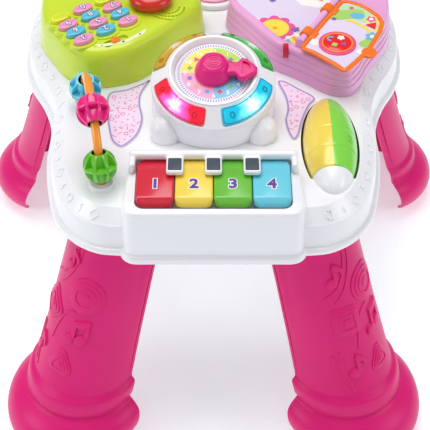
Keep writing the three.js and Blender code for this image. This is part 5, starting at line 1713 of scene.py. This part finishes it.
# %% The left page
LEFT_PAGE_MARGIN = 12.5
SPINE_CLEAR = 6.5
inner_plan = inset(book_plan, LEFT_PAGE_MARGIN)
left_half = prism(book_place(box(-160, -60, -SPINE_CLEAR, 200)), 340, 356)
left_region = combined(prism(inner_plan, 346, 352), left_half, "INTERSECT")
rim_edges = [corner.co.to_2d() for corner in left_region.verts if corner.co.z > 351.9]
left_region.free()
centre = sum(rim_edges, Vector((0, 0))) / len(rim_edges)
left_outline = sorted(rim_edges, key=lambda p: math.atan2(p.y - centre.y, p.x - centre.x))
left_drawing = [
    ("lavender", []),
    ("mint", [(blob(44, 20, 5), (-40, 118))]),
    ("mint", [(blob(30, 16, 4), (-72, 84))]),
    ("cream", [(blob(17, 9, 7), (-24, 78), 20), (blob(14, 7, 7), (-62, 12), -10),
               (blob(20, 9, 7), (-26, 8), 8)]),
    ("amber", [(arc_band(40, 4.4, 15, 62), (-32, -24))]),
    ("sun", [(arc_band(35.6, 4.4, 15, 62), (-32, -24))]),
    ("water", [(arc_band(31.2, 4.4, 15, 62), (-32, -24))]),
    ("rose", [(petals(9, 17.5, 23), (-39, 13))]),
    ("sun", [(oval(15.8, 15.8, 48), (-39, 13))]),
    ("cherry", [(oval(8, 9.5, 32), (-38, 96)), (oval(5, 6, 28), (-22, 108))]),
    ("plum", [(petals(5, 2.4, 5), (-18, 22)), (petals(5, 2, 4), (-66, 58)),
              (petals(5, 2, 4.4), (-58, 108))]),
    ("amber", [(petals(6, 1.6, 2.8), (-39, 13)), (polygon(3, 8, 90, 1), (-22, 88))])]
print_sheet("left_page_print", left_outline, BOOK_TOP + 0.03, left_drawing, "table")

# %% The turning page
PAGE_LOW = 353.1
PAGE_TOP = 355.8
# Across from the spine, along it, and the rounding of the corner
page_points = [
    (4.6, -14, 6), (21, -14.6, 24), (48, -20.6, 24), (66.8, -27.4, 6), (70.4, -6, 24),
    (73.6, 21, 24), (72.4, 36, 24), (70, 59, 14), (65.4, 74, 12), (56, 83, 14), (41, 89.4, 16),
    (26, 92.6, 16), (12, 91.4, 8), (4.6, 86, 6)]
page_corners = book_place([(across, along) for across, along, rounding in page_points])
page_plan = rounded_corners(page_corners, [point[2] for point in page_points], 5)
page_plan = anticlockwise(spaced(anticlockwise(page_plan), 200))
leaf = stepped(page_plan, [
    (0, PAGE_LOW, 0.7), (0, PAGE_TOP + 0.9, 1.4), (4.4, PAGE_TOP + 0.9, 0.9),
    (4.6, PAGE_TOP - 0.5), (5, PAGE_TOP - 0.5)])
THUMB_RADIUS = 8.4
THUMB_MIDDLE = (73.4, 17.5)
thumb_plan = placed(oval(THUMB_RADIUS, THUMB_RADIUS, 40), book_place([THUMB_MIDDLE])[0])
thumb_tab = prism(thumb_plan, PAGE_LOW + 0.3, PAGE_TOP + 0.6, 1.0)
hinge_lobe = prism(rounded_corners(book_place([
    (12, -14.4), (12, -9), (4.6, -6), (4.6, -9), (-1.8, -12), (-1.8, -14.6)]), 1),
    PAGE_LOW + 0.2, PAGE_TOP + 0.9, 1.0)
inner_side = prism(inset(page_plan, 2), PAGE_LOW - 2, PAGE_TOP + 3)
thumb_tab = combined(thumb_tab, hinge_lobe, "UNION")
leaf = combined(leaf, combined(thumb_tab, inner_side, "DIFFERENCE"), "UNION")
STRAP_WIDTH = 12
EYE_BORE = 4.4
# Middles of the page's two rings, as shares of the spine rod
EYE_SHARES = (0.165, 0.745)
for share in EYE_SHARES:
    start = share * SPINE_LENGTH - STRAP_WIDTH / 2
    end = start + STRAP_WIDTH
    strap_plan = rounded_corners(book_place(box(0, start, 12, end)), 1, 4)
    strap = stepped(strap_plan, [(0, PAGE_LOW + 0.2), (0, PAGE_TOP + 1.2, 0.7)])
    eye = move(turned([
        (EYE_BORE, start), (6, start), (6.8, start + 0.8), (6.8, end - 0.8), (6, end),
        (EYE_BORE, end), (EYE_BORE, start)], 40), spine_frame)
    leaf = combined(combined(leaf, strap, "UNION"), eye, "UNION")
bore = move(turned([(0, -30), (4.35, -30), (4.35, 120), (0, 120)], 40), spine_frame)
leaf = combined(leaf, bore, "DIFFERENCE")
page_orange = moulded("page frame moulded ABS", "#FF7A18", 0.26)
finish("book_page_frame", leaf, page_orange, "book_page", ["book_page"])
page_region = inset(page_plan, 5.3)
picture_height = PAGE_TOP - 0.46
right_drawing = [
    ("lavender", []),
    ("mint", [(blob(40, 16, 5), (52, 82), 10)]),
    ("sand", [(blob(22, 12, 4), (66, 66), -30)]),
    ("leaf", [(blob(20, 8, 4), (22, 66), 40), (blob(12, 6, 4), (66, 34), 60)]),
    ("sun", [(arc_band(44, 4, 40, 100), (34, 16))]),
    ("cream", [(blob(9, 5, 7), (14, 4)), (blob(8, 4.4, 7), (68, 16), 40)]),
    ("water", [(petals(6, 5, 8.4), (65, 44)), (oval(8, 5.4, 32), (34, 70), 20)]),
    ("rose", [(petals(5, 3, 5.6), (50, 72)), (oval(2.4, 2.4, 20), (22, 80))]),
    ("cherry", [(polygon(3, 8, 80, 1), (56, 62))]),
    ("cream", [(oval(3, 3, 24), (65, 44)), (oval(2.4, 2.4, 20), (50, 72))]),
    ("plum", [(polygon(4, 3.2, 45, 0.5), (14, 52)),
              (polygon(4, 2.6, 45, 0.5), (38, 88))])]
print_sheet("right_page_print", page_region, picture_height, right_drawing, "book_page")
under_region = prism(inset(page_plan, 5), PAGE_LOW - 0.12, PAGE_LOW + 0.4)
finish("right_page_back_print", under_region, inks["sand"], "book_page")

# %% The page's red button
BUTTON_MIDDLE = (134, 36)
BUTTON_FOOT = 354.5
# Name, colour, and section as (radius, height over the foot): the dome is closed by the axis
button_rings = [
    ("pink flange", "#F0558C", [(15, 0), (20.4, 0), (20.4, 2.5), (15, 2.7)]),
    ("orange ring", "#FF9A28", [(14.6, 0), (17, 0), (17, 3.5), (15.4, 3.5)]),
    ("red dome", "#F00E22", [(0, 0), (15.4, 0), (15.2, 2.9), (11, 3.9), (0, 4.3)])]
for words, colour, section in button_rings:
    profile = [(radius, BUTTON_FOOT + rise) for radius, rise in section]
    closed = profile if profile[0][0] == 0 else profile + profile[:1]
    ring = turned(softened(closed, 0.5), 72, middle=(*BUTTON_MIDDLE, 0))
    finish("page_button_" + words.replace(" ", "_"), ring,
           moulded(words + " moulded ABS", colour, 0.24), "book_page")
ICON_TURN = -25
icons = [
    ("cream", petals(5, 2, 4.2), (4.2, 6.6)), ("water", arc_band(4.2, 1.8, 60, 300), (-7, 5)),
    ("leaf", polygon(4, 4, 45, 0.6), (-3.4, -5.4)), ("plum", polygon(3, 4, 90, 0.5), (6.6, -4.4))]
for ink_name, shape, offset in icons:
    spot = Vector(BUTTON_MIDDLE) + Vector(offset)
    print_shape = prism(placed(shape, spot, ICON_TURN), BUTTON_FOOT + 3, BUTTON_FOOT + 4.45)
    finish("page_button_icon_" + ink_name, print_shape, inks[ink_name], "book_page")
print("book done")

# %% [markdown]
# ## The spinning disc and the deck's panels

# %% The disc
DISC_MIDDLE = (0, 193, 0)
SEAT_RADIUS = 38
SEAT_TOP = 319
SEAT_FLOOR = 314.3
SEAT_BORE = 3.3
DISC_RADIUS = 30
DISC_HUB = 12
disc_seat = turned(softened([
    (SEAT_BORE, DECK + GAP), (SEAT_RADIUS, DECK + GAP), (SEAT_RADIUS, SEAT_TOP - 1.8),
    (35.6, SEAT_TOP), (31.6, SEAT_TOP), (31, SEAT_FLOOR), (SEAT_BORE, SEAT_FLOOR),
    (SEAT_BORE, DECK + GAP)], 1.2), 96, middle=DISC_MIDDLE)
moulding("disc_base", disc_seat, white_abs)
disc_low = SEAT_FLOOR + GAP
spinner = turned(softened([
    (0, disc_low), (DISC_RADIUS, disc_low), (DISC_RADIUS, disc_low + 5), (26, disc_low + 6),
    (13, disc_low + 5.2), (12.6, disc_low + 6), (0, disc_low + 6)], 1.4), 96, middle=DISC_MIDDLE)
moulding("spin_disc", spinner, candy_abs, moves=True)
hub_blue = moulded("deep blue moulded ABS", "#2B4F86", 0.28)
disc_hub = turned(softened([
    (0, disc_low + 5), (DISC_HUB, disc_low + 5), (11.4, disc_low + 9), (7, disc_low + 10.4),
    (0, disc_low + 10.8)], 1.8), 72, middle=DISC_MIDDLE)
finish("spin_disc_hub", disc_hub, hub_blue, "spin_disc")
pads = []
for pad in range(8):
    middle = Vector(DISC_MIDDLE).to_2d() + on_circle(21, math.radians(45 * pad))
    shape = placed(oval(4.4, 2.8, 28), middle, 45 * pad)
    pads.append(prism(shape, disc_low + 4, disc_low + 6.9, 0.8))
finish("spin_disc_pads", joined(*pads), sky_abs, "spin_disc")

# %% The deck's printed panels
left_panel_shares = [
    (-0.315, 0.121), (-0.352, 0.013), (-0.356, -0.063), (-0.338, -0.175), (-0.356, -0.278),
    (-0.393, -0.341), (-0.438, -0.377), (-0.484, -0.341), (-0.511, -0.242), (-0.525, -0.13),
    (-0.53, -0.013), (-0.511, 0.027), (-0.434, 0.05), (-0.374, 0.086)]
right_panel_shares = [
    (0.32, 0.113), (0.35, 0.117), (0.42, 0.063), (0.507, -0.022), (0.479, -0.072),
    (0.44, -0.179), (0.411, -0.296), (0.388, -0.327), (0.37, -0.314), (0.343, -0.188),
    (0.356, -0.112), (0.352, -0.022)]
SPECKS = 190
SPECK_FIELD = (84, 112)
# Two uneven steps that spread the shapes over the field without a visible row
SPECK_STEPS = (0.7548777, 0.5698403)
panel_top = DECK + GAP + 1
panel_film = moulded("pale pink printed film", "#F3DCF3", 0.34, drift=0.03, coat=0.3, grain=0.02)
border_ink = ink("heather", "#A497C8")
speck_ink = ink("raspberry", "#EA6FB2")


def inside(point, outline):
    """Whether a point lies inside an outline."""
    crossings = 0
    for a, b in zip(outline, outline[1:] + outline[:1]):
        if (a.y > point.y) != (b.y > point.y):
            reach = a.x + (point.y - a.y) * (b.x - a.x) / (b.y - a.y)
            crossings += reach > point.x
    return crossings % 2 == 1


def panel_specks(outline):
    """Small shapes scattered over a panel: dots, rings, dashes and digits."""
    safe = inset(outline, 5)
    low_x, low_y = (min(p[axis] for p in outline) for axis in (0, 1))
    shapes = []
    for number in range(SPECKS):
        spot = Vector((
            low_x + SPECK_FIELD[0] * (number * SPECK_STEPS[0] % 1),
            low_y + SPECK_FIELD[1] * (number * SPECK_STEPS[1] % 1)))
        if not inside(spot, safe):
            continue
        kind = number % 5
        if kind == 0:
            mark = ring_mark(2.2, 0.8, 0, 0.15, 24)
        elif kind == 1:
            mark = prism(centred_box(2.8, 0.45), 0, 0.15)
        elif kind == 2:
            mark = text_mark(str(1 + number % 9), 6.6, 0, 0.15)
        else:
            mark = prism(oval(0.9, 0.9, 14), 0, 0.15)
        shapes.append(move(mark, standing(*spot, panel_top, number * 73 % 360)))
    return joined(*shapes)


for name, shares in (("left", left_panel_shares), ("right", right_panel_shares)):
    corners = [(x * TOP_HALF_WIDTH, y * TOP_HALF_DEPTH) for x, y in shares]
    outline = anticlockwise(even_curve(corners, 120))
    film = prism(inset(outline, 0.8), DECK + GAP, panel_top, 0.3)
    panel = "deco_panel_" + name
    finish(panel + "_film", film, panel_film, stands_for=[panel])
    edge = frame_mark(inset(outline, 1.2), 1.9, panel_top - 0.2, panel_top + 0.12, 0)
    finish(panel + "_border", edge, border_ink)
    finish(panel + "_specks", panel_specks(outline), speck_ink)
print("panels done")

# %% [markdown]
# ## Under the deck
# The tray, its door and what it holds keep their plain solids and are dressed in place.

# %% The underside
def dress(node, material):
    """Gives one of the plain solids a finish."""
    mesh = frame["nodes"][node].data
    mesh.materials.clear()
    mesh.materials.append(material)


dress("bottom_cover", grey_abs)
dress("battery_door", grey_abs)
zinc = moulded("zinc plated steel", "#B9BDC2", 0.28, coat=0.0)
zinc.node_tree.nodes["Principled BSDF"].inputs["Metallic"].default_value = 1.0
dress("battery_door_screw", zinc)
jacket = moulded("blue cell jacket", "#2F6CB0", 0.3)
for number in range(3):
    dress("battery_cell_" + str(number + 1), jacket)
dress("circuit_board", moulded("green solder mask", "#1F7A46", 0.35))
dress("speaker", black_abs_and_slot_shade)

# %% [markdown]
# ## Camera, floor and light
# The toy is seen from above its front edge, at 45 degrees. Four soft square lamps stand in for
# a studio's light tent, and a plain pale floor catches the shadow.

# %% Camera
scene = bpy.context.scene
CAMERA_PLACE = (0, -1.08965, 1.21924)
CAMERA_PITCH_DEGREES = 45
LENS_MM = 108.84
SHIFT = 0.0035
camera = bpy.data.objects.new("camera", bpy.data.cameras.new("camera"))
camera.data.lens = LENS_MM
camera.data.sensor_width = 36
camera.data.shift_x = SHIFT
camera.location = CAMERA_PLACE
camera.rotation_euler = (math.radians(CAMERA_PITCH_DEGREES), 0, 0)
scene.collection.objects.link(camera)
scene.camera = camera

# %% Floor and backdrop
floor_paint, floor_tree, floor_shader = new_material("white studio floor")
floor_place = add_node(floor_tree, "ShaderNodeTexCoord").outputs["Object"]
floor_noise = add_node(floor_tree, "ShaderNodeTexNoise", {"Vector": floor_place, "Scale": 3.0})
floor_tint = add_node(floor_tree, "ShaderNodeMapRange", {
    "Value": floor_noise.outputs["Fac"], "To Min": 0.90, "To Max": 0.92})
floor_tree.links.new(floor_tint.outputs["Result"], floor_shader.inputs["Base Color"])
floor_shader.inputs["Emission Color"].default_value = linear("#E6FAFF")
floor_shader.inputs["Emission Strength"].default_value = 0.42
floor_shader.inputs["Roughness"].default_value = 0.9
bm = bmesh.new()
bmesh.ops.create_grid(bm, x_segments=1, y_segments=1, size=4)
floor = as_object(bm, "studio_floor", floor_paint)

# %% Light
world = bpy.data.worlds.new("studio")
world.use_nodes = True
scene.world = world
world.node_tree.nodes.clear()
sky = add_node(world.node_tree, "ShaderNodeBackground", {"Color": (1, 1, 1, 1), "Strength": 0.3})
add_node(world.node_tree, "ShaderNodeOutputWorld", {"Surface": sky.outputs["Background"]})
# Name, place, target, size in metres and watts
studio_lamps = [
    ("top", (-0.2, 0.35, 2.3), (0, 0, 0.3), 1.6, 31),
    ("left", (-1.9, -0.7, 1.1), (0, 0, 0.2), 1.0, 11),
    ("right", (1.9, -0.7, 1.1), (0, 0, 0.2), 1.0, 9.5),
    ("front", (0, -1.9, 1.6), (0, 0, 0.3), 1.2, 1.5)]
for name, place, target, size, watts in studio_lamps:
    light = bpy.data.lights.new(name, "AREA")
    light.size = size
    light.energy = watts
    lamp = bpy.data.objects.new(name, light)
    lamp.location = place
    lamp.rotation_euler = (Vector(target) - Vector(place)).to_track_quat("-Z", "Y").to_euler()
    scene.collection.objects.link(lamp)
scene.view_settings.view_transform = "Standard"
